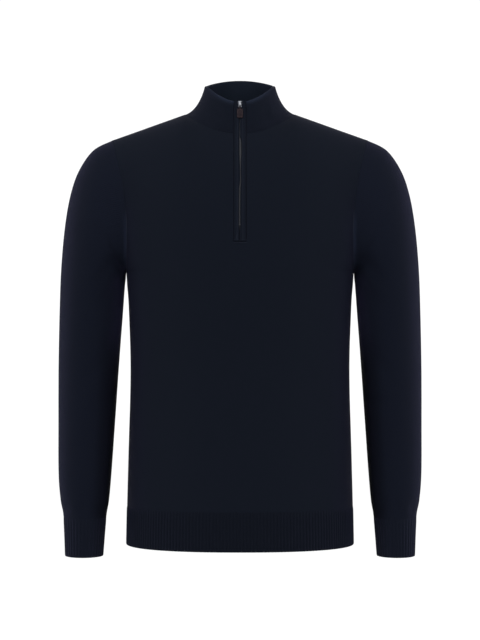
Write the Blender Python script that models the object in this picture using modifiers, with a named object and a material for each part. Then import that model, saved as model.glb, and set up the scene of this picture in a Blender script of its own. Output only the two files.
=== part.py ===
"""A quarter-zip sweater of fine knit, filled out as worn, hollow, with its arms hanging.

Metres, +Z up. The front faces -Y and the wearer's left is +X. The origin is midway between the
two shoulders' high points, where the wearer's shoulders carry the garment.

Every cloth piece is a wall between two grids of points: the outer grid follows a surface that is
worked out from the tables below, and the inner grid lies one wall thickness behind it. Where two
pieces are sewn together they share their direction inwards, so that their edges face each other
across a small gap. Surfaces are worked out for the wearer's left half and mirrored.
"""

import math
from bisect import bisect_left
from collections import namedtuple

import bmesh
import bpy
from mathutils import Vector

# Cloth
GAP = 0.0003                # between two pieces that are sewn together
KNIT_WALL = 0.0020          # plain knit
COLLAR_WALL = 0.0036        # the collar is knitted double
RIB_WALL = 0.0018           # the rib, without its raised wales
RIB_HEIGHT = 0.0010         # how far a wale stands out

# Body
BODY_LENGTH = 0.6715        # high point of the shoulder to the bottom of the hem
HEM_HEIGHT = 0.060
ARMPIT = -0.246             # height of the underarm point
SQUARENESS = 0.85           # power on sine and cosine: 1 is an ellipse, less is squarer
ROLL_SQUARENESS = 0.90      # the same for the curve from the chest up to the shoulder
HEM_RIBS = 49               # on each quarter of the hem

BodySection = namedtuple("BodySection", "z half_width front back")
BODY = (
    BodySection(-BODY_LENGTH, 0.1778, 0.1290, 0.1210),
    BodySection(-0.611, 0.1766, 0.1275, 0.1190),
    BodySection(-0.530, 0.1745, 0.1230, 0.1120),
    BodySection(-0.400, 0.1713, 0.1195, 0.1045),
    BodySection(-0.300, 0.1743, 0.1255, 0.1085),
    BodySection(ARMPIT, 0.1780, 0.1285, 0.1130),
)

# Neck and shoulder
NECK_SHARE = 0.34           # share of a quarter panel's width that ends at the neckline
NECK_CROWDING = 1.15        # power on that share: columns stand closer towards the neck's front
SOFT_REACH = 0.30           # how far the corner at the neck's side spreads over the panel below
FRONT_ROLL = math.radians(55)   # how far the cloth has turned back at the front neckline
BACK_ROLL = math.radians(52)
ROLL_CROWDING = 1.3         # power on the share: how soon the roll reaches a right angle
EDGE_DELAY = 0.8            # how much later the cloth starts to roll at the armhole
EDGE_PULL = 3               # power on the share: how far in the armhole's curve is felt
SLIT_HALF = 0.0105          # half the width of the opening that holds the zip
SLIT_SHARE = 0.042          # share of a quarter panel's width beside that opening

# Collar: rings at the neckline, at the bend and at the top edge
NeckRing = namedtuple("NeckRing", "half_width y_front y_side y_back z_front z_side z_back")
COLLAR_BASE = NeckRing(0.0865, -0.0760, 0.0000, 0.0680, -0.0370, -0.0003, 0.0100)
COLLAR_BEND = NeckRing(0.0650, -0.0655, 0.0000, 0.0615, -0.0200, 0.0070, 0.0300)
COLLAR_TOP = NeckRing(0.0550, -0.0580, -0.0010, 0.0620, 0.0150, 0.0450, 0.0610)
FRONT_DIP = 2.0             # power of a ring's dip towards the front
BACK_RISE = 1.3             # power of its rise towards the back
COLLAR_START = 0.042        # metres that the collar climbs at the neckline for each unit of rise

# Sleeve: each ring spans from an outer to an inner point in the XZ plane, and in depth along Y
SleeveRing = namedtuple("SleeveRing", "outer_x outer_z inner_x inner_z centre_y half_depth")
SLEEVE = (
    SleeveRing(0.1995, -0.0402, 0.1785, -0.2462, 0.0000, 0.0670),   # armhole
    SleeveRing(0.2297, -0.0557, 0.1790, -0.2495, 0.0000, 0.0675),
    SleeveRing(0.2521, -0.0871, 0.1796, -0.2545, 0.0000, 0.0670),
    SleeveRing(0.2655, -0.1250, 0.1802, -0.2610, 0.0000, 0.0660),
    SleeveRing(0.2745, -0.1760, 0.1808, -0.2690, 0.0000, 0.0650),
    SleeveRing(0.2805, -0.2420, 0.1817, -0.2800, 0.0010, 0.0630),   # upper arm
    SleeveRing(0.2830, -0.3100, 0.1840, -0.3120, 0.0010, 0.0600),
    SleeveRing(0.2845, -0.3950, 0.1900, -0.3930, -0.0010, 0.0550),  # elbow
    SleeveRing(0.2840, -0.4800, 0.1955, -0.4800, -0.0090, 0.0500),
    SleeveRing(0.2828, -0.5600, 0.2006, -0.5600, -0.0190, 0.0455),
    SleeveRing(0.2791, -0.6010, 0.2040, -0.6020, -0.0250, 0.0415),
    SleeveRing(0.2742, -0.6280, 0.2080, -0.6280, -0.0280, 0.0375),  # cuff seam
    SleeveRing(0.2711, -0.6873, 0.2125, -0.6873, -0.0340, 0.0335),  # end of the cuff
)
SHOULDER_RINGS = 5          # the rings that turn from the armhole into the arm
CUFF_SEAM = 11              # index of that ring
CUFF_SEAM_RUN = 0.027       # metres down the sleeve for each ring, just above the cuff seam
CUFF_RIBS = 38
ARMHOLE_GAP = 0.0005        # along X, from the body's edge out to the sleeve's first ring
SCOOP_FRONT = 0.0125        # how far the armhole seam curves in towards the chest
SCOOP_BACK = 0.0060
UNDERARM_DEPTH = 0.6        # share by which the walls are deeper at the underarm point

# Zip
STRIP_WALL = 0.0020         # the knitted strips that edge the zip
STRIP_GAP = 0.0019          # from the zip's middle to a strip's edge
STRIP_MEET = 0.0003         # the same below the zip's end, where the strips meet
TEETH_HALF = 0.0015
TEETH_SUNK = 0.0007         # the teeth lie this far below the strips' faces
TEETH_THICK = 0.0010
TAPE_THICK = 0.0008
TEETH_END = -0.1770         # height of the lowest tooth
STOP_LENGTH = 0.0022        # the stop below the last tooth
STOP_THICK = 0.0014
STRIPS_JOIN = 0.0080        # length over which the strips come together below the stop

# Slider and pull. They are made upright, facing -Y, and tilted with the collar.
SLIDER_HEIGHT = 0.0105      # its middle, above the origin
SLIDER_SIZE = (0.0062, 0.0018, 0.0090)
CROWN_WIDTH = 0.0018
CROWN_THICK = 0.0008
CROWN_REACH = 0.0032        # from the slider's middle to where the crown's ends enter it
CROWN_RISE = 0.0026         # from the slider's face to the middle of the crown's metal
PIN_RISE = 0.0012           # from the slider's face to the pull's axis
PIN_DROP = 0.0012           # from the slider's middle down to that axis
RING_WIRE = 0.0005          # radius
RING_HALF_WIDTH = 0.0023
RING_LENGTH = 0.0050        # between the middles of its upper and lower bars
RING_CORNER = 0.0010
LOOP_BORE = 0.0008          # radius of the leather loop around the lower bar
LOOP_RADIUS = 0.0015
LOOP_WIDTH = 0.0028
LOOP_TAIL = 0.0022          # from the lower bar to where the loop enters the tab
TAB_TIP = 0.0169            # from the lower bar to the tab's lower edge
TAB_WIDTH = 0.0092
TAB_CORNER = 0.0014
TAB_HALF_THICK = 0.0010
TAB_CLEARANCE = 0.0005      # between the hanging tab's tip and the strips

# Rows and columns of the grids
LOW_ROWS = 8                # hem seam to armpit
UP_ROWS = 14                # armpit to shoulder and neckline
SLIT_ROW = 2                # the opening starts this many rows above the armpit
NECK_COLUMNS = 5            # on a quarter panel, at the neckline
SHOULDER_COLUMNS = 7        # on a quarter panel, at the shoulder seam
COLLAR_ROWS = 5

FRONT, BACK = -1, 1


# ---------------------------------------------------------------- interpolation and directions

def smooth_at(keys, values, key):
    """A cubic through values at rising keys, level at both ends."""
    last = len(keys) - 1
    i = min(max(bisect_left(keys, key) - 1, 0), last - 1)
    span = keys[i + 1] - keys[i]
    u = (key - keys[i]) / span

    def slope(k):
        if k in (0, last):
            return 0.0
        return (values[k + 1] - values[k - 1]) / (keys[k + 1] - keys[k - 1])

    h = u * u * (3 - 2 * u)
    return (
        values[i] * (1 - h)
        + values[i + 1] * h
        + span * slope(i) * u * (1 - u) ** 2
        - span * slope(i + 1) * u * u * (1 - u)
    )


def without(axis, direction):
    """A direction turned square to one axis: 0 for X, 1 for Y, 2 for Z."""
    square = direction.copy()
    square[axis] = 0.0
    return square.normalized()


def skin_of(points, out=1, closed=False):
    """Pairs of a point and its normal, from a grid whose columns run right and whose rows run up.

    Out is -1 where one of the two runs the other way. A closed grid's last column meets its first.
    """
    rows, columns = len(points), len(points[0])
    skin = []
    for i, line in enumerate(points):
        pairs = []
        for j, point in enumerate(line):
            before, after = max(j - 1, 0), min(j + 1, columns - 1)
            if closed:
                before, after = j - 1, (j + 1) % columns
            across = line[after] - line[before]
            up = points[min(i + 1, rows - 1)][j] - points[max(i - 1, 0)][j]
            pairs.append((point, across.cross(up).normalized() * out))
        skin.append(pairs)
    return skin


# ---------------------------------------------------------------- the sleeve's surface

def sleeve_ring(v):
    """The ring at place v, counted in rows of the table, on a curve through the rows."""
    last = len(SLEEVE) - 1
    i = min(int(v), last - 1)
    u = v - i
    rows = (SLEEVE[max(i - 1, 0)], SLEEVE[i], SLEEVE[i + 1], SLEEVE[min(i + 2, last)])

    def through(a, b, c, d):
        return b + u * ((c - a) + u * ((2 * a - 5 * b + 4 * c - d) + u * (3 * (b - c) + d - a))) / 2

    return SleeveRing._make(map(through, *rows))


def sleeve_point(angle, v):
    """The left sleeve: angle 0 is outermost, -pi/2 the front, pi/2 the back, pi under the arm."""
    ring = sleeve_ring(v)
    c, s = math.cos(angle), math.sin(angle)
    scoop = (SCOOP_FRONT if s < 0 else SCOOP_BACK) * s * s * max(0.0, 1 - v / 2) ** 2
    x = (ring.outer_x + ring.inner_x) / 2 + (ring.outer_x - ring.inner_x) / 2 * c - scoop
    z = (ring.outer_z + ring.inner_z) / 2 + (ring.outer_z - ring.inner_z) / 2 * c
    return Vector((x, ring.centre_y + ring.half_depth * s, z))


def armhole_outward(angle):
    """The wall's direction at the armhole, for both the body and the sleeve: square to the ring.

    Under the arm, where the two walls turn back on each other, it is longer.
    """
    ring = SLEEVE[0]
    axis = Vector((ring.outer_x - ring.inner_x, 0, ring.outer_z - ring.inner_z))
    direction = axis.normalized() * (2 * math.cos(angle) / axis.length)
    direction.y = math.sin(angle) / ring.half_depth
    return direction.normalized() * (1 + UNDERARM_DEPTH * max(0.0, -math.cos(angle)) ** 3)


# ---------------------------------------------------------------- the collar's surface

def neck_ring_point(ring, angle):
    """A point of a collar ring: angle 0 is the front, pi/2 the left side, pi the back."""
    c = math.cos(angle)
    y_end, z_end, power = ring.y_back, ring.z_back, BACK_RISE
    if c > 0:
        y_end, z_end, power = ring.y_front, ring.z_front, FRONT_DIP
    return Vector((
        ring.half_width * math.sin(angle),
        ring.y_side + (y_end - ring.y_side) * abs(c),
        ring.z_side + (z_end - ring.z_side) * abs(c) ** power,
    ))


def collar_point(angle, rise):
    """The collar's outer surface, from the neckline, rise 0, to its top edge, rise 1."""
    base, bend, top = (
        neck_ring_point(ring, angle) for ring in (COLLAR_BASE, COLLAR_BEND, COLLAR_TOP)
    )
    return base * (1 - rise) ** 2 + bend * 2 * rise * (1 - rise) + top * rise ** 2


# ---------------------------------------------------------------- the body's surface

def section_at(z):
    """The body's horizontal section at a height."""
    keys = [row.z for row in BODY]
    return BodySection._make(smooth_at(keys, column, z) for column in zip(*BODY))


def section_point(section, side, angle):
    """A point of a horizontal section: angle 0 is the middle of the front or back."""
    depth = section.front if side == FRONT else section.back
    wide, deep = math.sin(angle), max(math.cos(angle), 0.0)
    return Vector((
        section.half_width * math.copysign(abs(wide) ** SQUARENESS, wide),
        side * (depth * deep ** SQUARENESS + GAP / 2),
        section.z,
    ))


def even_angles(section, side, count):
    """Angles from the middle to the side seam that share the section's length evenly."""
    fine = 400
    angles = [math.pi / 2 * k / fine for k in range(fine + 1)]
    points = [section_point(section, side, a) for a in angles]
    along = [0.0]
    for p, q in zip(points, points[1:]):
        along.append(along[-1] + (q - p).length)
    found = []
    for k in range(count + 1):
        want = along[-1] * k / count
        i = min(max(bisect_left(along, want), 1), fine)
        part = (want - along[i - 1]) / (along[i] - along[i - 1])
        found.append(angles[i - 1] + part * (angles[i] - angles[i - 1]))
    return found


ANGLE_STEPS = 200
PANEL_ANGLES = {side: even_angles(BODY[-1], side, ANGLE_STEPS) for side in (FRONT, BACK)}


def panel_angle(side, share):
    """The section angle at a share of a quarter panel's width."""
    place = abs(share) * ANGLE_STEPS
    i = min(int(place), ANGLE_STEPS - 1)
    low, high = PANEL_ANGLES[side][i], PANEL_ANGLES[side][i + 1]
    return math.copysign(low + (place - i) * (high - low), share)


def neck_angle(side, share):
    """The collar's angle above a panel column."""
    quarter = math.pi / 2 * min(abs(share) / NECK_SHARE, 1.0) ** NECK_CROWDING
    return math.copysign(quarter if side == FRONT else math.pi - quarter, share)


def armhole_point(side, rise):
    """The body's edge at the armhole: rise 0 is the underarm, 1 the end of the shoulder seam."""
    point = sleeve_point(side * math.pi * (1 - rise), 0.0)
    point.x -= ARMHOLE_GAP
    point.y += side * GAP / 2
    return point


def top_point(side, share):
    """The panel's top edge: the neckline, then the shoulder seam out to the armhole."""
    if abs(share) <= NECK_SHARE:
        point = neck_ring_point(COLLAR_BASE, neck_angle(side, share))
        point.y += side * GAP / 2
        return point
    neck, tip = top_point(side, NECK_SHARE), armhole_point(side, 1.0)
    point = neck.lerp(tip, (min(abs(share), 1.0) - NECK_SHARE) / (1 - NECK_SHARE))
    point.x = math.copysign(point.x, share)
    return point


def column_end(side, share):
    """Where a column ends and how far it has turned back there."""
    start = FRONT_ROLL if side == FRONT else BACK_ROLL
    part = min(abs(share) / NECK_SHARE, 1.0) ** ROLL_CROWDING
    return top_point(side, share), start + (math.pi / 2 - start) * part


def softened_end(side, share, rise):
    """The end of a column as the cloth below feels it: the corner at the neck's side fades."""
    reach = SOFT_REACH * (1 - rise)
    weights = (1, 2, 3, 2, 1)
    top, turned = Vector((0, 0, 0)), 0.0
    for k, weight in enumerate(weights):
        end, roll = column_end(side, share + reach * (k - 2) / 2)
        top += end * weight / sum(weights)
        turned += roll * weight / sum(weights)
    return top, turned


def rolled_point(side, share, rise):
    """Above the armpit each column rolls from upright to its end at the neck or shoulder."""
    low = section_point(BODY[-1], side, panel_angle(side, share))
    top, end = softened_end(side, share, rise)
    turn = end * rise ** (1 + EDGE_DELAY * share * share)
    up = (math.sin(turn) / math.sin(end)) ** ROLL_SQUARENESS
    level = 1 - max(math.cos(end), 0.0) ** ROLL_SQUARENESS
    inward = (1 - max(math.cos(turn), 0.0) ** ROLL_SQUARENESS) / level
    sideways = up * up * (3 - 2 * up)
    return Vector((
        low.x + (top.x - low.x) * sideways,
        low.y + (top.y - low.y) * inward,
        low.z + (top.z - low.z) * up,
    ))


def body_point(side, share, height):
    """The body's outer surface. Height runs from -1 at the hem seam over 0 at the armpit to 1."""
    if height <= 0:
        z = ARMPIT + (BODY_LENGTH - HEM_HEIGHT + ARMPIT) * height
        return section_point(section_at(z), side, panel_angle(side, share))
    point = rolled_point(side, share, height)
    edge = armhole_point(side, height) - rolled_point(side, 1.0, height)
    edge.x = math.copysign(1.0, share) * edge.x
    return point + edge * abs(share) ** EDGE_PULL


def neckline_outward(side, share):
    """The wall's direction at the neckline, for both the body and the collar.

    It is square to the neckline and to the line from the cloth below it to the cloth above.
    """
    angle, step, below, above = neck_angle(side, share), 0.02, 0.9, 0.25
    along = collar_point(angle + step, 0) - collar_point(angle - step, 0)
    low = body_point(side, share, below)
    if share == NECK_SHARE:
        low = (low + body_point(-side, share, below)) / 2
        low.y = along.x = along.z = 0.0
    return along.cross(collar_point(angle, above) - low).normalized()


# ---------------------------------------------------------------- walls

def wall(name, skin, thickness, material, closed=False, holes=(), raised=None):
    """A closed solid whose outer points are the skin's and whose inner points lie behind them.

    The skin is a grid of (point, normal). Cells in holes, as (row, column), are left out, and
    raised gives how far a row's and column's outer point stands out.
    """
    rows, columns = len(skin), len(skin[0])
    size = rows * columns
    outer = [
        p + n * (raised(i, j) if raised else 0.0)
        for i, line in enumerate(skin) for j, (p, n) in enumerate(line)
    ]
    inner = [p - n * thickness for line in skin for p, n in line]
    faces = []
    for i in range(rows - 1):
        for j in range(columns if closed else columns - 1):
            if (i, j) not in holes:
                a, b = i * columns + j, i * columns + (j + 1) % columns
                faces.append((a, b, b + columns, a + columns))
    edges = {(face[k], face[(k + 1) % 4]) for face in faces for k in range(4)}
    behind = [tuple(v + size for v in reversed(face)) for face in faces]
    rim = sorted((b, a, a + size, b + size) for a, b in edges if (b, a) not in edges)
    mesh = bpy.data.meshes.new(name)
    mesh.from_pydata(outer + inner, [], faces + behind + rim)
    return finish(name, mesh, material)


def finish(name, mesh, material):
    """Turns the faces outwards, drops unused points, and puts the mesh in the sweater."""
    shape = bmesh.new()
    shape.from_mesh(mesh)
    loose = [v for v in shape.verts if not v.link_faces]
    bmesh.ops.delete(shape, geom=loose, context="VERTS")
    bmesh.ops.recalc_face_normals(shape, faces=shape.faces)
    shape.to_mesh(mesh)
    shape.free()
    mesh.materials.append(material)
    mesh.shade_smooth()
    mesh.set_sharp_from_angle(angle=math.radians(40))
    obj = bpy.data.objects.new(name, mesh)
    SWEATER.objects.link(obj)
    return obj


def turned(skin, column, axis):
    """Turns one column's normals square to an axis."""
    for line in skin:
        point, normal = line[column]
        line[column] = (point, without(axis, normal))


def flipped(pair):
    """A point and its normal on the wearer's other side."""
    return tuple(Vector((-v.x, v.y, v.z)) for v in pair)


def both_halves(half, share_middle=False):
    """Lines from the middle to the left side, completed with their mirror image."""
    start = 1 if share_middle else 0
    return [[flipped(pair) for pair in reversed(line[start:])] + line for line in half]


def on_side(hand, skin):
    """A skin for the left or the right of the garment."""
    return skin if hand == "left" else [[flipped(pair) for pair in line] for line in skin]


# ---------------------------------------------------------------- cloth pieces

def neck_shares():
    """Shares of a quarter panel's width, from beside the zip to the neck's side."""
    step = (NECK_SHARE - SLIT_SHARE) / NECK_COLUMNS
    return [SLIT_SHARE + step * k for k in range(NECK_COLUMNS)] + [NECK_SHARE]


def panel_shares(side):
    """Shares of a quarter panel's width, from its middle or beside the zip to its edge."""
    step = (1 - NECK_SHARE) / SHOULDER_COLUMNS
    shoulder = [1 - step * k for k in reversed(range(SHOULDER_COLUMNS))]
    return ([] if side == FRONT else [0.0]) + neck_shares() + shoulder


def panel_heights():
    """Heights of the panel's rows, from the hem seam to the top edge."""
    low = [-1 + k / LOW_ROWS for k in range(LOW_ROWS)]
    low[0] += GAP / (BODY_LENGTH - HEM_HEIGHT + ARMPIT)
    return low + [k / UP_ROWS for k in range(UP_ROWS + 1)]


def body_panel(name, side, material):
    """The front or back, hem seam to shoulder. The front has the opening for the zip."""
    heights, shares = panel_heights(), panel_shares(side)
    points = [[body_point(side, share, height) for share in shares] for height in heights]
    if side == FRONT:
        for line in points:
            line[0].x = SLIT_HALF
    half = skin_of(points, out=-side)
    for height, line in zip(heights, half):
        for j, (share, (point, normal)) in enumerate(zip(shares, line)):
            if share == 1.0 and height >= 0:
                normal = armhole_outward(side * math.pi * (1 - height))
            elif height == 1.0 and share <= NECK_SHARE:
                normal = neckline_outward(side, share)
            if share >= NECK_SHARE and height == 1.0:
                normal = without(1, normal)
            if height == heights[0]:
                normal = without(2, normal)
            line[j] = (point, normal)
    turned(half, 0, 0)
    turned(half[:LOW_ROWS], -1, 1)
    if side == BACK:
        wall(name, both_halves(half, share_middle=True), KNIT_WALL, material)
        return
    middle = len(shares) - 1
    opening = {(i, middle) for i in range(LOW_ROWS + SLIT_ROW, len(half) - 1)}
    wall(name, both_halves(half), KNIT_WALL, material, holes=opening)


def hem_band(name, side, material):
    """The ribbed hem under one panel, from side seam to side seam."""
    points = []
    for z in (-BODY_LENGTH, -BODY_LENGTH + HEM_HEIGHT):
        section = section_at(z)
        angles = even_angles(section, side, 2 * HEM_RIBS)
        points.append([section_point(section, side, angle) for angle in angles])
    half = skin_of(points, out=-side)
    half = [[(point, without(2, normal)) for point, normal in line] for line in half]
    turned(half, 0, 0)
    turned(half, -1, 1)
    wall(
        name, both_halves(half, share_middle=True), RIB_WALL, material,
        raised=lambda i, j: RIB_HEIGHT * (j % 2),
    )


def ring_angles(count):
    """Angles around the sleeve, from under the arm over the front and the top to the back."""
    return [math.pi * (2 * k / count - 1) for k in range(count)]


def sleeve(hand, material):
    """From the armhole to the cuff seam."""
    angles = ring_angles(2 * UP_ROWS)
    shoulder = [k / 2 for k in range(2 * SHOULDER_RINGS)]
    arm = [float(ring) for ring in range(SHOULDER_RINGS, CUFF_SEAM)]
    rows = shoulder + arm + [CUFF_SEAM - GAP / CUFF_SEAM_RUN]
    skin = skin_of([[sleeve_point(a, v) for a in angles] for v in rows], out=-1, closed=True)
    skin[0] = [(point, armhole_outward(a)) for a, (point, _) in zip(angles, skin[0])]
    skin[-1] = [(point, without(2, normal)) for point, normal in skin[-1]]
    wall(f"sleeve_{hand}", on_side(hand, skin), KNIT_WALL, material, closed=True)


def cuff(hand, material):
    """The ribbed cuff at a sleeve's end."""
    rows = (CUFF_SEAM, CUFF_SEAM + 1)
    points = [[sleeve_point(a, v) for a in ring_angles(2 * CUFF_RIBS)] for v in rows]
    skin = skin_of(points, out=-1, closed=True)
    skin = [[(point, without(2, normal)) for point, normal in line] for line in skin]
    wall(
        f"cuff_{hand}", on_side(hand, skin), RIB_WALL, material, closed=True,
        raised=lambda i, j: RIB_HEIGHT * (j % 2),
    )


def collar(name, material):
    """The standing collar, open at the front for the zip."""
    columns = [(BACK, share) for share in [0.0] + neck_shares()]
    columns += [(FRONT, share) for share in reversed(neck_shares()[:-1])]
    first = GAP / COLLAR_START
    rises = [first + (1 - first) * row / COLLAR_ROWS for row in range(COLLAR_ROWS + 1)]
    points = [[collar_point(neck_angle(*column), rise) for column in columns] for rise in rises]
    for line in points:
        line[-1].x = SLIT_HALF
    half = skin_of(points, out=-1)
    half[0] = [(point, neckline_outward(*column)) for column, (point, _) in zip(columns, half[0])]
    turned(half[:1], columns.index((BACK, NECK_SHARE)), 1)
    turned(half, 0, 0)
    turned(half, -1, 0)
    wall(name, both_halves(half, share_middle=True), COLLAR_WALL, material)


# ---------------------------------------------------------------- the zip

TOP_ROW = UP_ROWS + COLLAR_ROWS


def spine_point(row):
    """The zip's line on the front, in rows above the armpit, and up over the collar."""
    if row <= UP_ROWS:
        point = body_point(FRONT, SLIT_SHARE, row / UP_ROWS)
    else:
        rise = (row - UP_ROWS) / COLLAR_ROWS
        point = collar_point(neck_angle(FRONT, SLIT_SHARE), rise)
    point.x = 0.0
    return point


def spine_frame(row):
    """A point of the zip's line, the direction up along it and the direction out of the cloth."""
    step = 0.2
    up = (spine_point(min(row + step, TOP_ROW)) - spine_point(row - step)).normalized()
    return spine_point(row), up, Vector((0, -up.z, up.y))


def row_at(z):
    """The row of the zip's line at a height."""
    low, high = 0.0, float(TOP_ROW)
    for _ in range(40):
        middle = (low + high) / 2
        low, high = (middle, high) if spine_point(middle).z < z else (low, middle)
    return low


def zip_rows(first, extra=()):
    """Rows from the first up to the collar's top, through the rows of the front and collar."""
    whole = [row for row in range(TOP_ROW + 1) if row > first + 0.05]
    return sorted([first, *whole, *extra])


def zip_band(name, rows, edges, depth, thick, material):
    """A band along the zip, sunk by a depth. Edges gives its two X values at a row."""
    skin = []
    for row in rows:
        place, _, out = spine_frame(row)
        skin.append([(Vector((x, place.y, place.z)) - out * depth, out) for x in edges(row)])
    return wall(name, skin, thick, material)


def cloth_and_teeth(knit, tape, metal):
    """The strips that edge the zip, the tape behind them, the closed row of teeth and its stop."""
    outer = SLIT_HALF - GAP
    foot = row_at(spine_point(SLIT_ROW).z + GAP)
    below_stop = row_at(TEETH_END - STOP_LENGTH - 2 * GAP)
    joined = row_at(TEETH_END - STOP_LENGTH - STRIPS_JOIN)
    strip_rows = zip_rows(foot, (joined, below_stop))

    def inner(row):
        return STRIP_MEET if row <= joined else STRIP_GAP

    def left_edges(row):
        return inner(row), outer

    def right_edges(row):
        return -outer, -inner(row)

    def tape_edges(row):
        return -outer, outer

    def teeth_edges(row):
        return -TEETH_HALF, TEETH_HALF

    zip_band("placket_left", strip_rows, left_edges, 0.0, STRIP_WALL, knit)
    zip_band("placket_right", strip_rows, right_edges, 0.0, STRIP_WALL, knit)
    zip_band("zip_tape", zip_rows(foot), tape_edges, STRIP_WALL + GAP, TAPE_THICK, tape)
    teeth_rows = zip_rows(row_at(TEETH_END))
    zip_band("zip_teeth", teeth_rows, teeth_edges, TEETH_SUNK, TEETH_THICK, metal)
    stop_rows = [row_at(TEETH_END - STOP_LENGTH - GAP), row_at(TEETH_END - GAP)]
    zip_band("zip_stop", stop_rows, teeth_edges, TEETH_SUNK / 2, STOP_THICK, metal)


def linked(name, data, material, hidden=False):
    """An object of the sweater, or a hidden shape that another is joined with."""
    obj = bpy.data.objects.new(name, data)
    data.materials.append(material)
    obj.hide_render = hidden
    obj.display_type = "WIRE" if hidden else "TEXTURED"
    (JOINING if hidden else SWEATER).objects.link(obj)
    return obj


def crown(metal):
    """The strap over the slider that the pull's ring hangs from, bent out of a ribbon."""
    ribbon = bmesh.new()
    steps = 8
    sides = ([], [])
    for k in range(steps + 1):
        turn = math.pi * k / steps
        rise = CROWN_RISE * math.sin(turn) ** 0.6 if 0 < k < steps else -2 * GAP
        for side, x in zip(sides, (-CROWN_WIDTH / 2, CROWN_WIDTH / 2)):
            side.append(ribbon.verts.new((x, -rise, CROWN_REACH * math.cos(turn))))
    for k in range(steps):
        ribbon.faces.new((sides[0][k], sides[1][k], sides[1][k + 1], sides[0][k + 1]))
    mesh = bpy.data.meshes.new("crown")
    ribbon.to_mesh(mesh)
    ribbon.free()
    strap = linked("crown", mesh, metal, hidden=True)
    thick = strap.modifiers.new("thickness", "SOLIDIFY")
    thick.thickness = CROWN_THICK
    thick.offset = 0.0
    return strap


def slider(metal):
    """The slider's plate with its crown. Returns the place of the pull's axis."""
    place, up, out = spine_frame(row_at(SLIDER_HEIGHT))
    face = place + out * (GAP + SLIDER_SIZE[1])
    plate = bmesh.new()
    bmesh.ops.create_cube(plate, size=1.0)
    bmesh.ops.scale(plate, vec=SLIDER_SIZE, verts=plate.verts)
    bmesh.ops.translate(plate, vec=(0, SLIDER_SIZE[1] / 2, 0), verts=plate.verts)
    mesh = bpy.data.meshes.new("zip_slider")
    plate.to_mesh(mesh)
    plate.free()
    body = linked("zip_slider", mesh, metal)
    rounding = body.modifiers.new("rounding", "BEVEL")
    rounding.width = 0.0005
    rounding.segments = 2
    strap = crown(metal)
    for obj in (body, strap):
        obj.location = face
        obj.rotation_euler.x = -math.atan2(up.y, up.z)
    join = body.modifiers.new("crown", "BOOLEAN")
    join.operation = "UNION"
    join.object = strap
    return face + out * PIN_RISE - up * PIN_DROP


def rounded_rectangle(half_width, top, bottom, corner, steps):
    """Points of a rectangle with round corners, counter-clockwise from its upper right."""
    right, low, high = half_width - corner, bottom + corner, top - corner
    points = []
    for x, z, start in ((right, high, 0), (-right, high, 90), (-right, low, 180), (right, low, 270)):
        for k in range(steps + 1):
            turn = math.radians(start + 90 * k / steps)
            points.append((x + corner * math.cos(turn), z + corner * math.sin(turn)))
    return points


def add_outlines(curve, outlines):
    """Adds closed outlines of straight lines to a curve, each a list of X and Y."""
    for outline in outlines:
        spline = curve.splines.new("POLY")
        spline.points.add(len(outline) - 1)
        for point, (x, y) in zip(spline.points, outline):
            point.co = (x, y, 0, 1)
        spline.use_cyclic_u = True


def flat_piece(name, outlines, half_thickness, material):
    """A flat piece cut to an outline, with holes where more outlines are given."""
    curve = bpy.data.curves.new(name, "CURVE")
    curve.dimensions = "2D"
    curve.fill_mode = "BOTH"
    curve.extrude = half_thickness
    add_outlines(curve, outlines)
    return linked(name, curve, material)


def loop_outline():
    """The leather loop seen from the side: round the bar, with a tail that enters the tab."""
    start = math.asin(TAB_HALF_THICK / LOOP_RADIUS)
    steps = 14
    turns = [start + 2 * (math.pi - start) * k / steps for k in range(steps + 1)]
    outline = [(LOOP_RADIUS * math.cos(turn), LOOP_RADIUS * math.sin(turn)) for turn in turns]
    return outline + [(LOOP_TAIL, -TAB_HALF_THICK), (LOOP_TAIL, TAB_HALF_THICK)]


def circle(radius, steps):
    """Points of a circle."""
    return [
        (radius * math.cos(2 * math.pi * k / steps), radius * math.sin(2 * math.pi * k / steps))
        for k in range(steps)
    ]


def pull(axis, metal, leather):
    """The ring on the slider's crown, the leather loop around its lower bar, and the tab."""
    tip, _, out = spine_frame(row_at(axis.z - RING_LENGTH - TAB_TIP))
    tip += out * (TAB_HALF_THICK + TAB_CLEARANCE)
    hang = bpy.data.objects.new("pull_axis", None)
    hang.location = axis
    hang.rotation_euler.x = -math.atan2(axis.y - tip.y, axis.z - tip.z)
    SWEATER.objects.link(hang)
    upright, sideways = (math.pi / 2, 0, 0), (0, math.pi / 2, 0)

    wire = bpy.data.curves.new("pull_ring", "CURVE")
    wire.dimensions = "3D"
    wire.bevel_depth = RING_WIRE
    wire.bevel_resolution = 2
    add_outlines(wire, [rounded_rectangle(RING_HALF_WIDTH, 0.0, -RING_LENGTH, RING_CORNER, 3)])
    ring = linked("pull_ring", wire, metal)
    ring.rotation_euler = upright
    outlines = [loop_outline(), circle(LOOP_BORE, 12)]
    loop = flat_piece("pull_loop", outlines, LOOP_WIDTH / 2, leather)
    loop.rotation_euler = sideways
    outline = rounded_rectangle(TAB_WIDTH / 2, -LOOP_TAIL - GAP, -TAB_TIP, TAB_CORNER, 4)
    tab = flat_piece("pull_tab", [outline], TAB_HALF_THICK, leather)
    tab.rotation_euler = upright
    for obj in (loop, tab):
        obj.location.z = -RING_LENGTH
    for obj in (ring, loop, tab):
        obj.parent = hang


# ---------------------------------------------------------------- the sweater

def finish_of(name, colour, roughness, metallic=0.0):
    """A material of one colour."""
    made = bpy.data.materials.new(name)
    made.use_nodes = True
    shader = made.node_tree.nodes["Principled BSDF"]
    shader.inputs["Base Color"].default_value = (*colour, 1)
    shader.inputs["Roughness"].default_value = roughness
    shader.inputs["Metallic"].default_value = metallic
    return made


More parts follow.
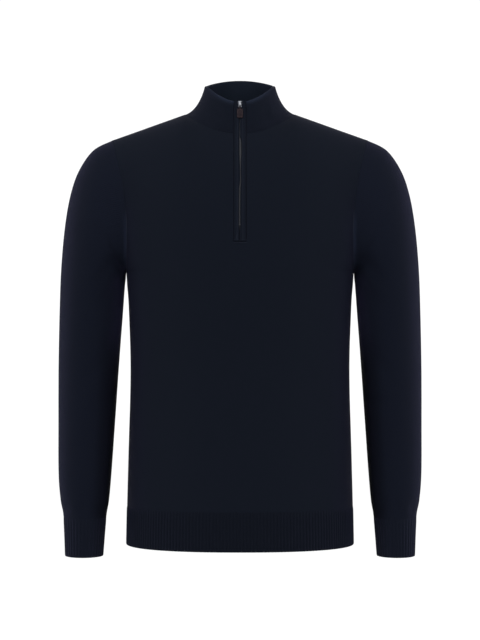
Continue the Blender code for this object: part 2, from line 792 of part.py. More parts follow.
def main():
    """Makes every piece."""
    knit = finish_of("navy_knit", (0.010, 0.012, 0.020), 0.9)
    rib = finish_of("navy_rib", (0.009, 0.011, 0.018), 0.9)
    tape = finish_of("zip_tape", (0.008, 0.009, 0.014), 0.8)
    metal = finish_of("zip_metal", (0.55, 0.55, 0.56), 0.25, 1.0)
    leather = finish_of("pull_leather", (0.09, 0.03, 0.02), 0.5)
    body_panel("front", FRONT, knit)
    body_panel("back", BACK, knit)
    hem_band("hem_front", FRONT, rib)
    hem_band("hem_back", BACK, rib)
    for hand in ("left", "right"):
        sleeve(hand, knit)
        cuff(hand, rib)
    collar("collar", knit)
    cloth_and_teeth(knit, tape, metal)
    axis = slider(metal)
    pull(axis, metal, leather)


for old in list(bpy.data.objects):
    bpy.data.objects.remove(old)
SWEATER = bpy.data.collections.new("sweater")
JOINING = bpy.data.collections.new("joining_shapes")
bpy.context.scene.collection.children.link(SWEATER)
bpy.context.scene.collection.children.link(JOINING)
main()
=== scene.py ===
"""A quarter-zip sweater in fine navy knit, hollow and filled out as worn, round its fixed frame.

Every cloth piece is a thin closed shell between an outer and an inner grid of points on the
garment's own surface, with soft creases placed one by one. Its flat coordinates, in metres, carry
the knit. What repeats along a seam or along the zip is laid down by one Geometry Nodes tree.
Metres, +Z up, the front faces -Y and the wearer's left is +X.
"""

import logging
from bisect import bisect_left
from dataclasses import dataclass, replace
from enum import Enum, Flag, auto
from functools import lru_cache
from math import asin, copysign, cos, pi, radians, sin, tau
from typing import Callable, NamedTuple, Sequence

import bmesh
import bpy
import numpy as np
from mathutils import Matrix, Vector


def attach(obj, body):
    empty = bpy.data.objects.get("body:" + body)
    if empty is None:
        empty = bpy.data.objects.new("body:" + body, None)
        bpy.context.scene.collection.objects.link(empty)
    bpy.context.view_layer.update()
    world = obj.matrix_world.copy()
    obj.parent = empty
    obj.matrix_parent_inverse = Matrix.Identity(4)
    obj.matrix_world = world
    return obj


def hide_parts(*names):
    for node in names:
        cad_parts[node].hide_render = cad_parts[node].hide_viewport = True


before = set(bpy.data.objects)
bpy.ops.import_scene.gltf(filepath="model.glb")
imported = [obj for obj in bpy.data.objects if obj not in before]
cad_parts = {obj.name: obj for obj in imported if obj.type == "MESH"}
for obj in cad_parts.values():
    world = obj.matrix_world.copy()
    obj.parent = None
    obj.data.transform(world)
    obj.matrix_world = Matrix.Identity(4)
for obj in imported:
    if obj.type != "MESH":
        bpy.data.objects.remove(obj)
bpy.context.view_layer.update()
LOG = logging.getLogger("sweater")
MM = 0.001
GARMENT, PULL = "garment", "pull"
TINY = 1e-9
Pair = tuple[float, float]
Triple = tuple[float, float, float]
Colour = Triple
Array = np.ndarray
BMesh = bmesh.types.BMesh
Material = bpy.types.Material
Mesh = bpy.types.Mesh
Object = bpy.types.Object
Socket = bpy.types.NodeSocket
Value = float | tuple[float, ...] | Socket
Surface = Callable[[float, float], Vector]


class Side(Enum):
    """The front or the back of the body: the sign of Y."""

    FRONT = -1
    BACK = 1


class Hand(Enum):
    """The wearer's left or right: the sign of X."""

    LEFT = 1
    RIGHT = -1

    @property
    def word(self) -> str:
        """The side's name in a piece's name."""
        return self.name.lower()


class Edge(Enum):
    """An edge of a grid of points."""

    FIRST_ROW = auto()
    LAST_ROW = auto()
    FIRST_COLUMN = auto()
    LAST_COLUMN = auto()


class Ends(Flag):
    """The ends of a run of values that lie on a rounded edge."""

    NEITHER = 0
    START = auto()
    STOP = auto()
    BOTH = START | STOP


def ease(part: float | Array) -> float | Array:
    """A smooth rise from 0 to 1, level at both ends."""
    return part * part * (3 - 2 * part)


# ---- the garment's surface

class BodySection(NamedTuple):
    """A horizontal section of the body."""

    z: float
    half_width: float
    front: float
    back: float


class NeckRing(NamedTuple):
    """A ring round the neck, which dips towards the front and rises towards the back."""

    half_width: float
    y_front: float
    y_side: float
    y_back: float
    z_front: float
    z_side: float
    z_back: float


class SleeveRing(NamedTuple):
    """A ring of the sleeve, from an outer to an inner point in the XZ plane."""

    outer_x: float
    outer_z: float
    inner_x: float
    inner_z: float
    centre_y: float
    half_depth: float


def smooth_at(keys: Sequence[float], values: Sequence[float], key: float) -> float:
    """A cubic through values at rising keys, level at both ends.

    Args:
        keys: Where the values are given.
        values: The values there.
        key: Where the value is wanted.

    Returns:
        The value at the key.
    """
    last = len(keys) - 1
    i = min(max(bisect_left(keys, key) - 1, 0), last - 1)
    span = keys[i + 1] - keys[i]
    u = (key - keys[i]) / span

    def slope(k: int) -> float:
        """The curve's slope at a key."""
        if k in (0, last):
            return 0.0
        return (values[k + 1] - values[k - 1]) / (keys[k + 1] - keys[k - 1])

    h = ease(u)
    bend = slope(i) * u * (1 - u) ** 2 - slope(i + 1) * u * u * (1 - u)
    return values[i] * (1 - h) + values[i + 1] * h + span * bend


@dataclass(frozen=True)
class SleeveCut:
    """The left sleeve's outer surface. Places count the rings from the armhole to the cuff."""

    rings: tuple[SleeveRing, ...] = (
        SleeveRing(0.1995, -0.0402, 0.1785, -0.2462, 0.0000, 0.0670),
        SleeveRing(0.2297, -0.0557, 0.1790, -0.2495, 0.0000, 0.0675),
        SleeveRing(0.2521, -0.0871, 0.1796, -0.2545, 0.0000, 0.0670),
        SleeveRing(0.2655, -0.1250, 0.1802, -0.2610, 0.0000, 0.0660),
        SleeveRing(0.2745, -0.1760, 0.1808, -0.2690, 0.0000, 0.0650),
        SleeveRing(0.2805, -0.2420, 0.1817, -0.2800, 0.0010, 0.0630),
        SleeveRing(0.2830, -0.3100, 0.1840, -0.3120, 0.0010, 0.0600),
        SleeveRing(0.2845, -0.3950, 0.1900, -0.3930, -0.0010, 0.0550),
        SleeveRing(0.2840, -0.4800, 0.1955, -0.4800, -0.0090, 0.0500),
        SleeveRing(0.2828, -0.5600, 0.2006, -0.5600, -0.0190, 0.0455),
        SleeveRing(0.2791, -0.6010, 0.2040, -0.6020, -0.0250, 0.0415),
        SleeveRing(0.2742, -0.6280, 0.2080, -0.6280, -0.0280, 0.0375),
        SleeveRing(0.2711, -0.6873, 0.2125, -0.6873, -0.0340, 0.0335),
    )
    scoop_front: float = 0.0125
    scoop_back: float = 0.0060
    scooped_rings: int = 2
    cuff_seam: int = 11
    underarm_depth: float = 0.6

    def ring(self, place: float) -> SleeveRing:
        """The ring at a place, on a curve through the rings."""
        last = len(self.rings) - 1
        i = min(int(place), last - 1)
        u = place - i
        picked = (max(i - 1, 0), i, i + 1, min(i + 2, last))

        def through(a: float, b: float, c: float, d: float) -> float:
            """A cubic between b and c."""
            cube = 3 * (b - c) + d - a
            return b + u * ((c - a) + u * ((2 * a - 5 * b + 4 * c - d) + u * cube)) / 2

        return SleeveRing._make(map(through, *(self.rings[k] for k in picked)))

    def point(self, angle: float, place: float) -> Vector:
        """A point: angle 0 is outermost, -pi/2 the front, pi/2 the back, pi under the arm."""
        ring = self.ring(place)
        c, s = cos(angle), sin(angle)
        scoop = self.scoop_front if s < 0 else self.scoop_back
        scoop *= s * s * max(0.0, 1 - place / self.scooped_rings) ** 2
        return Vector((
            (ring.outer_x + ring.inner_x) / 2 + (ring.outer_x - ring.inner_x) / 2 * c - scoop,
            ring.centre_y + ring.half_depth * s,
            (ring.outer_z + ring.inner_z) / 2 + (ring.outer_z - ring.inner_z) / 2 * c,
        ))

    def outward(self, angle: float) -> Vector:
        """The walls' direction at the armhole, square to its ring and longer under the arm."""
        ring = self.rings[0]
        axis = Vector((ring.outer_x - ring.inner_x, 0, ring.outer_z - ring.inner_z))
        direction = axis.normalized() * (2 * cos(angle) / axis.length)
        direction.y = sin(angle) / ring.half_depth
        deeper = 1 + self.underarm_depth * max(0.0, -cos(angle)) ** 3
        return direction.normalized() * deeper


@dataclass(frozen=True)
class CollarCut:
    """The collar's outer surface, through a ring at the neckline, at the bend and at the top."""

    base: NeckRing = NeckRing(0.0865, -0.0760, 0.0000, 0.0680, -0.0370, -0.0003, 0.0100)
    bend: NeckRing = NeckRing(0.0650, -0.0655, 0.0000, 0.0615, -0.0200, 0.0070, 0.0300)
    top: NeckRing = NeckRing(0.0550, -0.0580, -0.0010, 0.0620, 0.0150, 0.0450, 0.0610)
    front_dip: float = 2.0
    back_rise: float = 1.3

    def ring_point(self, ring: NeckRing, angle: float) -> Vector:
        """A point of a ring: angle 0 is the front, pi/2 the left side, pi the back."""
        c = cos(angle)
        y_end, z_end, power = ring.y_back, ring.z_back, self.back_rise
        if c > 0:
            y_end, z_end, power = ring.y_front, ring.z_front, self.front_dip
        return Vector((
            ring.half_width * sin(angle),
            ring.y_side + (y_end - ring.y_side) * abs(c),
            ring.z_side + (z_end - ring.z_side) * abs(c) ** power,
        ))

    def point(self, angle: float, rise: float) -> Vector:
        """A point between the neckline, rise 0, and the top edge, rise 1."""
        base, bend, top = (self.ring_point(r, angle) for r in (self.base, self.bend, self.top))
        return base * (1 - rise) ** 2 + bend * 2 * rise * (1 - rise) + top * rise ** 2


@dataclass(frozen=True)
class BodyCut:
    """The body's outer surface, front and back.

    A share counts a quarter panel's width from the middle, 0, to the side seam or armhole, 1.
    A height runs from -1 at the hem seam over 0 at the armpit to 1 at the shoulder and neckline.
    """

    sleeve: SleeveCut = SleeveCut()
    collar: CollarCut = CollarCut()
    sections: tuple[BodySection, ...] = (
        BodySection(-0.6715, 0.1778, 0.1290, 0.1210),
        BodySection(-0.611, 0.1766, 0.1275, 0.1190),
        BodySection(-0.530, 0.1745, 0.1230, 0.1120),
        BodySection(-0.400, 0.1713, 0.1195, 0.1045),
        BodySection(-0.300, 0.1743, 0.1255, 0.1085),
        BodySection(-0.246, 0.1780, 0.1285, 0.1130),
    )
    hem_height: float = 0.060
    gap: float = 0.0003
    armhole_gap: float = 0.0005
    squareness: float = 0.85
    roll_squareness: float = 0.90
    neck_share: float = 0.34
    neck_crowding: float = 1.15
    soft_reach: float = 0.30
    front_roll: float = radians(55)
    back_roll: float = radians(52)
    roll_crowding: float = 1.3
    edge_delay: float = 0.8
    edge_pull: int = 3
    slit_half: float = 0.0096
    slit_share: float = 0.042
    slit_foot: float = 0.128
    angle_steps: int = 200

    @property
    def length(self) -> float:
        """From the shoulder's high point down to the bottom of the hem."""
        return -self.sections[0].z

    @property
    def armpit(self) -> float:
        """The height of the underarm point."""
        return self.sections[-1].z

    @lru_cache(maxsize=4096)
    def section_at(self, z: float) -> BodySection:
        """The horizontal section at a height."""
        keys = [row.z for row in self.sections]
        return BodySection._make(smooth_at(keys, column, z) for column in zip(*self.sections))

    def section_point(self, section: BodySection, side: Side, angle: float) -> Vector:
        """A point of a section: angle 0 is the middle of the front or back."""
        depth = section.front if side is Side.FRONT else section.back
        wide, deep = sin(angle), max(cos(angle), 0.0)
        return Vector((
            section.half_width * copysign(abs(wide) ** self.squareness, wide),
            side.value * (depth * deep ** self.squareness + self.gap / 2),
            section.z,
        ))

    def even_angles(self, section: BodySection, side: Side, count: int) -> list[float]:
        """Angles from the middle to the side seam that share a section's length evenly."""
        fine = 400
        angles = [pi / 2 * k / fine for k in range(fine + 1)]
        points = [self.section_point(section, side, a) for a in angles]
        along = [0.0]
        for p, q in zip(points, points[1:]):
            along.append(along[-1] + (q - p).length)
        return list(np.interp(np.linspace(0.0, along[-1], count + 1), along, angles))

    @lru_cache(maxsize=4)
    def panel_angles(self, side: Side) -> tuple[float, ...]:
        """The angles of the underarm section at even shares."""
        return tuple(self.even_angles(self.sections[-1], side, self.angle_steps))

    def panel_angle(self, side: Side, share: float) -> float:
        """The section angle at a share of a quarter panel's width."""
        place = abs(share) * self.angle_steps
        i = min(int(place), self.angle_steps - 1)
        low, high = self.panel_angles(side)[i:i + 2]
        return copysign(low + (place - i) * (high - low), share)

    def neck_angle(self, side: Side, share: float) -> float:
        """The collar's angle above a panel column."""
        quarter = pi / 2 * min(abs(share) / self.neck_share, 1.0) ** self.neck_crowding
        return copysign(quarter if side is Side.FRONT else pi - quarter, share)

    @lru_cache(maxsize=4096)
    def armhole_point(self, side: Side, rise: float) -> Vector:
        """The body's edge at the armhole, from the underarm, 0, to the shoulder seam's end, 1."""
        point = self.sleeve.point(side.value * pi * (1 - rise), 0.0)
        point.x -= self.armhole_gap
        point.y += side.value * self.gap / 2
        return point

    def top_point(self, side: Side, share: float) -> Vector:
        """The panel's top edge: the neckline, then the shoulder seam out to the armhole."""
        if abs(share) <= self.neck_share:
            point = self.collar.ring_point(self.collar.base, self.neck_angle(side, share))
            point.y += side.value * self.gap / 2
            return point
        neck, tip = self.top_point(side, self.neck_share), self.armhole_point(side, 1.0)
        out = (min(abs(share), 1.0) - self.neck_share) / (1 - self.neck_share)
        point = neck.lerp(tip, out)
        point.x = copysign(point.x, share)
        return point

    @lru_cache(maxsize=65536)
    def column_end(self, side: Side, share: float) -> tuple[Vector, float]:
        """Where a column ends and how far it has turned back there."""
        start = self.front_roll if side is Side.FRONT else self.back_roll
        part = min(abs(share) / self.neck_share, 1.0) ** self.roll_crowding
        return self.top_point(side, share), start + (pi / 2 - start) * part

    def softened_end(self, side: Side, share: float, rise: float) -> tuple[Vector, float]:
        """A column's end as the cloth below feels it: the corner at the neck's side fades."""
        reach = self.soft_reach * (1 - rise)
        weights = (1, 2, 3, 2, 1)
        top, turned = Vector((0, 0, 0)), 0.0
        for k, weight in enumerate(weights):
            end, roll = self.column_end(side, share + reach * (k - 2) / 2)
            top += end * weight / sum(weights)
            turned += roll * weight / sum(weights)
        return top, turned

    def rolled_point(self, side: Side, share: float, rise: float) -> Vector:
        """Above the armpit each column rolls from upright to its end at the neck or shoulder."""
        low = self.section_point(self.sections[-1], side, self.panel_angle(side, share))
        top, end = self.softened_end(side, share, rise)
        power = self.roll_squareness
        turn = end * rise ** (1 + self.edge_delay * share * share)
        up = (sin(turn) / sin(end)) ** power
        level = 1 - max(cos(end), 0.0) ** power
        inward = (1 - max(cos(turn), 0.0) ** power) / level
        return Vector((
            low.x + (top.x - low.x) * ease(up),
            low.y + (top.y - low.y) * inward,
            low.z + (top.z - low.z) * up,
        ))

    def point(self, side: Side, share: float, height: float) -> Vector:
        """A point of the body's outer surface."""
        if height <= 0:
            z = self.armpit + (self.length - self.hem_height + self.armpit) * height
            return self.section_point(self.section_at(z), side, self.panel_angle(side, share))
        point = self.rolled_point(side, share, height)
        edge = self.armhole_point(side, height) - self.rolled_point(side, 1.0, height)
        edge.x = copysign(1.0, share) * edge.x
        return point + edge * abs(share) ** self.edge_pull

    def neckline_outward(self, side: Side, share: float) -> Vector:
        """The walls' direction at the neckline, for both the body and the collar."""
        angle, step, below, above = self.neck_angle(side, share), 0.02, 0.9, 0.25
        along = self.collar.point(angle + step, 0) - self.collar.point(angle - step, 0)
        low = self.point(side, share, below)
        if share == self.neck_share:
            other = Side.BACK if side is Side.FRONT else Side.FRONT
            low = (low + self.point(other, share, below)) / 2
            low.y = along.x = along.z = 0.0
        return along.cross(self.collar.point(angle, above) - low).normalized()


CUT = BodyCut()


# ---- finishes

class Wires:
    """A short way to join the nodes of one new material."""

    def __init__(self, name: str) -> None:
        """Makes the material, with nothing in its tree but an output."""
        self.made = bpy.data.materials.new(name)
        self.made.use_nodes = True
        self.tree = self.made.node_tree
        self.tree.nodes.clear()
        self.output = self.tree.nodes.new("ShaderNodeOutputMaterial")

    def node(
        self, kind: str, inputs: dict[str | int, Value] | None = None, **settings: str
    ) -> bpy.types.Node:
        """Adds a node.

        Args:
            kind: The node's type without the leading ShaderNode.
            inputs: A value or an output socket for each named or numbered input.
            settings: The node's own settings.

        Returns:
            The node.
        """
        made = self.tree.nodes.new("ShaderNode" + kind)
        for setting, value in settings.items():
            setattr(made, setting, value)
        for key, value in (inputs or {}).items():
            if isinstance(value, Socket):
                self.tree.links.new(value, made.inputs[key])
            else:
                made.inputs[key].default_value = value
        return made

    def maths(self, operation: str, *values: Value) -> Socket:
        """The result of a Math node."""
        return self.node("Math", dict(enumerate(values)), operation=operation).outputs[0]

    def wave(self, operation: str, turns: Socket) -> Socket:
        """The sine or cosine of a number of whole turns."""
        return self.maths(operation, self.maths("MULTIPLY", turns, tau))

    def flat(self) -> tuple[Socket, Socket]:
        """A shell's flat coordinates, along the courses and up the columns."""
        place = self.node("UVMap", uv_map="knit").outputs[0]
        split = self.node("SeparateXYZ", {0: place}).outputs
        return split[0], split[1]

    def noise(self, scale: float, detail: float = 2.0) -> Socket:
        """Noise on the object's own coordinates."""
        place = self.node("TexCoord").outputs["Object"]
        inputs = {"Vector": place, "Scale": scale, "Detail": detail}
        return self.node("TexNoise", inputs).outputs["Fac"]

    def mixed(self, part: Socket, low: Colour | Socket, high: Colour) -> Socket:
        """A colour between another, or a socket's, and a second one."""
        first = low if isinstance(low, Socket) else (*low, 1)
        inputs = {"Factor": part, "A": first, "B": (*high, 1)}
        return self.node("Mix", inputs, data_type="RGBA").outputs["Result"]

    def finish(self, inputs: dict[str, Value], height: Socket, depth: float) -> Material:
        """Ends the tree in a Principled shader with a bump.

        Args:
            inputs: The shader's inputs.
            height: The socket that gives the relief.
            depth: The relief's depth in metres.

        Returns:
            The material.
        """
        bump = self.node("Bump", {"Height": height, "Distance": depth, "Strength": 1.0})
        shader = self.node("BsdfPrincipled", {**inputs, "Normal": bump.outputs["Normal"]})
        self.tree.links.new(shader.outputs[0], self.output.inputs["Surface"])
        return self.made


def scaled(colour: Colour, factor: float) -> Colour:
    """A colour made lighter or darker."""
    return tuple(c * factor for c in colour)


@dataclass(frozen=True)
class KnitFinish:
    """Fine combed yarn knitted plain: columns of small V stitches on the flat coordinates."""

    name: str = "navy_knit"
    slot: str = "navy_knit"
    colour: Colour = (0.0039, 0.0053, 0.0093)
    wale: float = 0.00190
    course: float = 0.00135
    relief: float = 0.00030
    lean: float = 0.8
    mottling: float = 0.16
    roughness: float = 0.92
    specular: float = 0.03
    sheen: float = 0.020
    sheen_roughness: float = 0.25
    sheen_colour: Colour = (0.46, 0.40, 1.0)
    # fuzz: the colour's factor at full painted light; pressed: its factor at full painted shade
    fuzz: float = 2.4
    pressed: float = 0.35
    loop_mean: float = 0.7
    loop_swing: float = 0.3
    fibre_scale: float = 1500.0
    fibre_relief: float = 0.35
    stitch_share: float = 0.45
    fibre_share: float = 0.55
    shades: Pair = (-2.0, 1.6)

    def rubbed(self, share: float) -> "KnitFinish":
        """A shaded copy of the same knit, with a share of its sheen taken away as painted shade."""
        name = f"{self.name}_rubbed_{round(share * 100)}"
        return replace(self, name=name, sheen=self.sheen * (1 - share))

    @lru_cache(maxsize=None)
    def material(self) -> Material:
        """Builds the material once."""
        w = Wires(self.name)
        across, up = w.flat()
        column = w.maths("FRACT", w.maths("DIVIDE", across, self.wale))
        aside = w.maths("ABSOLUTE", w.maths("MULTIPLY_ADD", column, 2.0, -1.0))
        slant = w.maths("MULTIPLY", aside, self.lean)
        turn = w.maths("SUBTRACT", w.maths("DIVIDE", up, self.course), slant)
        leg = w.maths("SINE", w.maths("MULTIPLY", aside, pi))
        loop = w.maths("MULTIPLY_ADD", w.wave("COSINE", turn), self.loop_swing, self.loop_mean)
        stitch = w.maths("MULTIPLY", leg, loop)
        fibre = w.noise(self.fibre_scale)
        speckle = w.maths("MULTIPLY", fibre, self.fibre_share)
        shade = w.maths("MULTIPLY_ADD", stitch, self.stitch_share, speckle)
        low, high = (scaled(self.colour, 1 + s * self.mottling) for s in self.shades)
        # Painted light and shade: a point attribute above 0 lightens the colour as painted light,
        # below 0 darkens it as painted shade
        fuzz = w.node("Attribute", attribute_name="fuzz").outputs["Fac"]
        raised = w.mixed(fuzz, w.mixed(shade, low, high), scaled(self.colour, self.fuzz))
        painted_shade_share = w.maths("MULTIPLY", fuzz, -1.0)
        inputs = {
            "Base Color": w.mixed(painted_shade_share, raised, scaled(self.colour, self.pressed)),
            "Roughness": self.roughness,
            "Specular IOR Level": self.specular,
            "Sheen Weight": self.sheen,
            "Sheen Roughness": self.sheen_roughness,
            "Sheen Tint": (*self.sheen_colour, 1),
        }
        height = w.maths("MULTIPLY_ADD", fibre, self.fibre_relief, stitch)
        return w.finish(inputs, height, self.relief)


@dataclass(frozen=True)
class WovenFinish:
    """The zip's tape: a close herringbone of fine thread."""

    name: str = "woven_tape"
    slot: str = "zip_tape"
    colour: Colour = (0.0060, 0.0068, 0.0105)
    thread: float = 0.00045
    threads_a_zigzag: int = 4
    weave_relief: float = 0.5
    fibre_scale: float = 2500.0
    shades: Pair = (0.6, 1.3)
    roughness: float = 0.8
    specular: float = 0.2
    relief: float = 0.00008

    @lru_cache(maxsize=None)
    def material(self) -> Material:
        """Builds the material once."""
        w = Wires(self.name)
        across, up = w.flat()
        zigzag = w.maths("PINGPONG", across, self.thread * self.threads_a_zigzag)
        turn = w.maths("DIVIDE", w.maths("ADD", up, zigzag), self.thread)
        weave = w.wave("SINE", turn)
        height = w.maths("MULTIPLY_ADD", weave, self.weave_relief, w.noise(self.fibre_scale))
        inputs = {
            "Base Color": w.mixed(height, *(scaled(self.colour, shade) for shade in self.shades)),
            "Roughness": self.roughness,
            "Specular IOR Level": self.specular,
        }
        return w.finish(inputs, height, self.relief)


@dataclass(frozen=True)
class SmoothFinish:
    """Metal, leather, moulded teeth or thread: a base colour with fine wear and grain."""

    name: str
    slot: str
    colour: Colour
    roughness: float
    metallic: float = 0.0
    specular: float = 0.5
    grain: float = 800.0
    grain_depth: float = 0.00002
    grain_detail: float = 3.0
    mottling: float = 0.1
    wear_size: float = 6.0
    wear_swing: float = 0.15
    wear_below: float = 0.07

    @lru_cache(maxsize=None)
    def material(self) -> Material:
        """Builds the material once."""
        w = Wires(self.name)
        grain = w.noise(self.grain, self.grain_detail)
        wear = w.noise(self.grain / self.wear_size)
        low, high = (scaled(self.colour, 1 + s * self.mottling) for s in (-1, 1))
        least = self.roughness - self.wear_below
        inputs = {
            "Base Color": w.mixed(wear, low, high),
            "Roughness": w.maths("MULTIPLY_ADD", wear, self.wear_swing, least),
            "Metallic": self.metallic,
            "Specular IOR Level": self.specular,
        }
        return w.finish(inputs, grain, self.grain_depth)


KNIT = KnitFinish()
SLEEVE_KNIT = replace(KNIT, name="sleeve_knit", sheen=0.040, colour=(0.0039, 0.0051, 0.0098))
# A little darker than the body knit: painted shade that offsets the light its forward and upward
# faces catch
COLLAR_KNIT = KnitFinish(
    name="collar_knit", wale=0.00165, course=0.00120, colour=(0.0037, 0.0050, 0.0090)
)
# Lighter than the outer collar knit: painted light on the inner wall, which lies in shade
COLLAR_INSIDE_PAINTED_LIGHT = replace(COLLAR_KNIT, name="collar_inside", colour=(0.0072, 0.0102, 0.0168))
RIB_KNIT = KnitFinish(
    name="navy_rib", slot="navy_rib", wale=0.00125, colour=(0.0038, 0.0050, 0.0088)
)
CUFF_KNIT = replace(RIB_KNIT, name="cuff_rib", sheen=0.032, colour=(0.0045, 0.0058, 0.0106))
TAPE = WovenFinish()
CHROME = SmoothFinish("polished_chrome", "zip_metal", (0.38, 0.39, 0.41), 0.18, metallic=1.0)
STEEL = SmoothFinish("worn_steel", "zip_metal", (0.085, 0.09, 0.10), 0.30, metallic=1.0)
GUNMETAL = SmoothFinish("dark_metal", "zip_metal", (0.060, 0.064, 0.075), 0.30, metallic=1.0)
TEETH = SmoothFinish("dark_teeth", "zip_metal", (0.010, 0.012, 0.018), 0.30, specular=0.35)
LEATHER = SmoothFinish(
    "brown_leather", "pull_leather", (0.0082, 0.0048, 0.0068), 0.55, specular=0.06,
    grain=1800.0, grain_depth=0.00005, mottling=0.25,
)
THREAD = SmoothFinish("navy_thread", "navy_knit", (0.0125, 0.0150, 0.0240), 0.85, specular=0.05)
LINK_THREAD = SmoothFinish(
    "linking_thread", "navy_knit", (0.0088, 0.0110, 0.0176), 0.9, specular=0.03
)
PULL_THREAD = SmoothFinish("tan_thread", "pull_leather", (0.075, 0.050, 0.048), 0.8, specular=0.05)
Finish = KnitFinish | WovenFinish | SmoothFinish


# ---- skins and shells

def mirror(vector: Vector) -> Vector:
    """A point or a direction on the wearer's other side."""
    return Vector((-vector.x, vector.y, vector.z))


def both_sides(left: Sequence[Vector]) -> list[Vector]:
    """Directions from the middle to the left, completed with their mirror images."""
    return [mirror(v) for v in reversed(left[1:])] + list(left)


class Crease(NamedTuple):
    """A soft ridge, or a trough where the rise is below zero, along places of a piece."""

    run: tuple[Pair, ...]
    rise: float
    width: float


Creases = tuple[Crease, ...]


def length_along(points: Array, axis: int) -> Array:
    """The length run so far along one axis of a grid, starting at 0."""
    steps = np.linalg.norm(np.diff(points, axis=axis), axis=2)
    return np.insert(np.cumsum(steps, axis=axis), 0, 0.0, axis=axis)


def fade(distance: Array, reach: float) -> Array:
    """1 at a distance of 0, falling smoothly to 0 at the reach."""
    return ease(np.clip(1 - distance / reach, 0.0, 1.0))


class Skin:
    """A grid of points on a surface with their outward normals.

    Rows run from one end to the other, and columns round the wearer. In a closed skin the last
    column lies on the first.
    """

    def __init__(self, points: Array, outward: int, closed: bool = False) -> None:
        """Works out the normals, the edge distances and the flat coordinates.

        Args:
            points: An array of rows, columns and X, Y, Z.
            outward: 1 where columns crossed with rows point outwards, or -1.
            closed: Whether the columns run all the way round.
        """
        self.points = points
        self.outward = outward
        self.closed = closed
        self.normals = self._normals()
        self.across = length_along(points, 1)
        self.up = length_along(points, 0)
        self.flat_u = self._flat_width()
        self.flat_v = self.up.copy()

    def _normals(self) -> Array:
        """The unit normals, from differences between neighbours."""
        p = self.points
        across = np.gradient(p, axis=1)
        if self.closed:
            across[:, 0] = across[:, -1] = p[:, 1] - p[:, -2]
        normals = np.cross(across, np.gradient(p, axis=0)) * self.outward
        return normals / np.linalg.norm(normals, axis=2, keepdims=True)

    def _flat_width(self) -> Array:
        """How far each point lies from the middle column, measured along the knit's courses."""
        least = 0.3
        steps = np.diff(self.across, axis=1)
        climb = np.diff(self.up, axis=1)
        level = np.sqrt(np.maximum(steps ** 2 - climb ** 2, (least * steps) ** 2))
        run = np.insert(np.cumsum(level, axis=1), 0, 0.0, axis=1)
        middle = run.shape[1] // 2
        return run - run[:, middle:middle + 1]

    def distance(self, edge: Edge) -> Array:
        """How far each point lies from an edge."""
        return {
            Edge.FIRST_ROW: self.up,
            Edge.LAST_ROW: self.up[-1:] - self.up,
            Edge.FIRST_COLUMN: self.across,
            Edge.LAST_COLUMN: self.across[:, -1:] - self.across,
        }[edge]

    def from_sides(self) -> Array:
        """How far each point lies from the nearer of the first and the last column."""
        return np.minimum(self.distance(Edge.FIRST_COLUMN), self.distance(Edge.LAST_COLUMN))

    def lean(
        self, edge: Edge, directions: Sequence[Vector], reach: float,
        mask: Array | float = 1.0,
    ) -> None:
        """Turns the normals near an edge towards given directions.

        Args:
            edge: The edge.
            directions: One for each point of the edge.
            reach: How far in from the edge the turn is felt.
            mask: Where it is felt, from 0 to 1.
        """
        wanted = np.array([tuple(d) for d in directions])
        along_row = edge in (Edge.FIRST_ROW, Edge.LAST_ROW)
        wanted = wanted[None, :] if along_row else wanted[:, None]
        weight = (fade(self.distance(edge), reach) * mask)[:, :, None]
        self.normals = self.normals * (1 - weight) + wanted * weight

    def level(self, reach: float) -> None:
        """Turns the normals near the first row level, so that the walls above and below it meet."""
        flat = self.normals[0] * (1, 1, 0)
        flat /= np.linalg.norm(flat, axis=1, keepdims=True)
        self.lean(Edge.FIRST_ROW, [Vector(v) for v in flat], reach)

    def crease(self, creases: Creases, surface: Surface) -> None:
        """Presses creases into the skin.

        Args:
            creases: The creases, whose runs are places on the surface.
            surface: Gives the point at a place.
        """
        samples, first, last, fullness = 40, 0.06, 0.94, 0.8
        taper = np.sin(np.pi * np.linspace(first, last, samples)) ** fullness
        for crease in creases:
            run = np.array(crease.run)
            places = np.linspace(0.0, len(run) - 1, samples)
            where = [np.interp(places, range(len(run)), column) for column in run.T]
            middle = np.array([tuple(surface(a, b)) for a, b in zip(*where)])
            felt = np.zeros(self.points.shape[:2])
            for spot, share in zip(middle, taper):
                near = ((self.points - spot) ** 2).sum(axis=2) / crease.width ** 2
                felt = np.maximum(felt, share * np.exp(-near))
            self.points = self.points + self.normals * (crease.rise * felt)[:, :, None]

    def raised(self, amount: Array) -> None:
        """Moves the points out along their normals."""
        self.points = self.points + self.normals * amount[:, :, None]

    def mirrored(self) -> "Skin":
        """The same skin on the wearer's other side."""
        other = Skin(self.points * (-1, 1, 1), -self.outward, self.closed)
        other.normals = self.normals * (-1, 1, 1)
        other.flat_u, other.flat_v = -self.flat_u, self.flat_v
        return other


def edge_inset(distance: Array, radius: float) -> Array:
    """How far a round edge of a radius has fallen away at a distance in from it."""
    left = radius - np.minimum(distance, radius)
    return radius - np.sqrt(np.maximum(radius ** 2 - left ** 2, 0.0))


def placed(name: str, data: bpy.types.ID) -> Object:
    """A new object in the scene, at the origin."""
    obj = bpy.data.objects.new(name, data)
    bpy.context.scene.collection.objects.link(obj)
    return obj


def smoothed(mesh: Mesh, shape: BMesh, sharp: float) -> Object:
    """Places a finished shape in its mesh, smooth but for the edges sharper than an angle."""
    shape.to_mesh(mesh)
    shape.free()
    mesh.shade_smooth()
    mesh.set_sharp_from_angle(angle=sharp)
    return placed(mesh.name, mesh)


def corner_vertices(mesh: Mesh) -> Array:
    """The vertex at each corner of each face, in the mesh's own order."""
    corners = np.empty(len(mesh.loops), dtype=np.int32)
    mesh.loops.foreach_get("vertex_index", corners)
    return corners


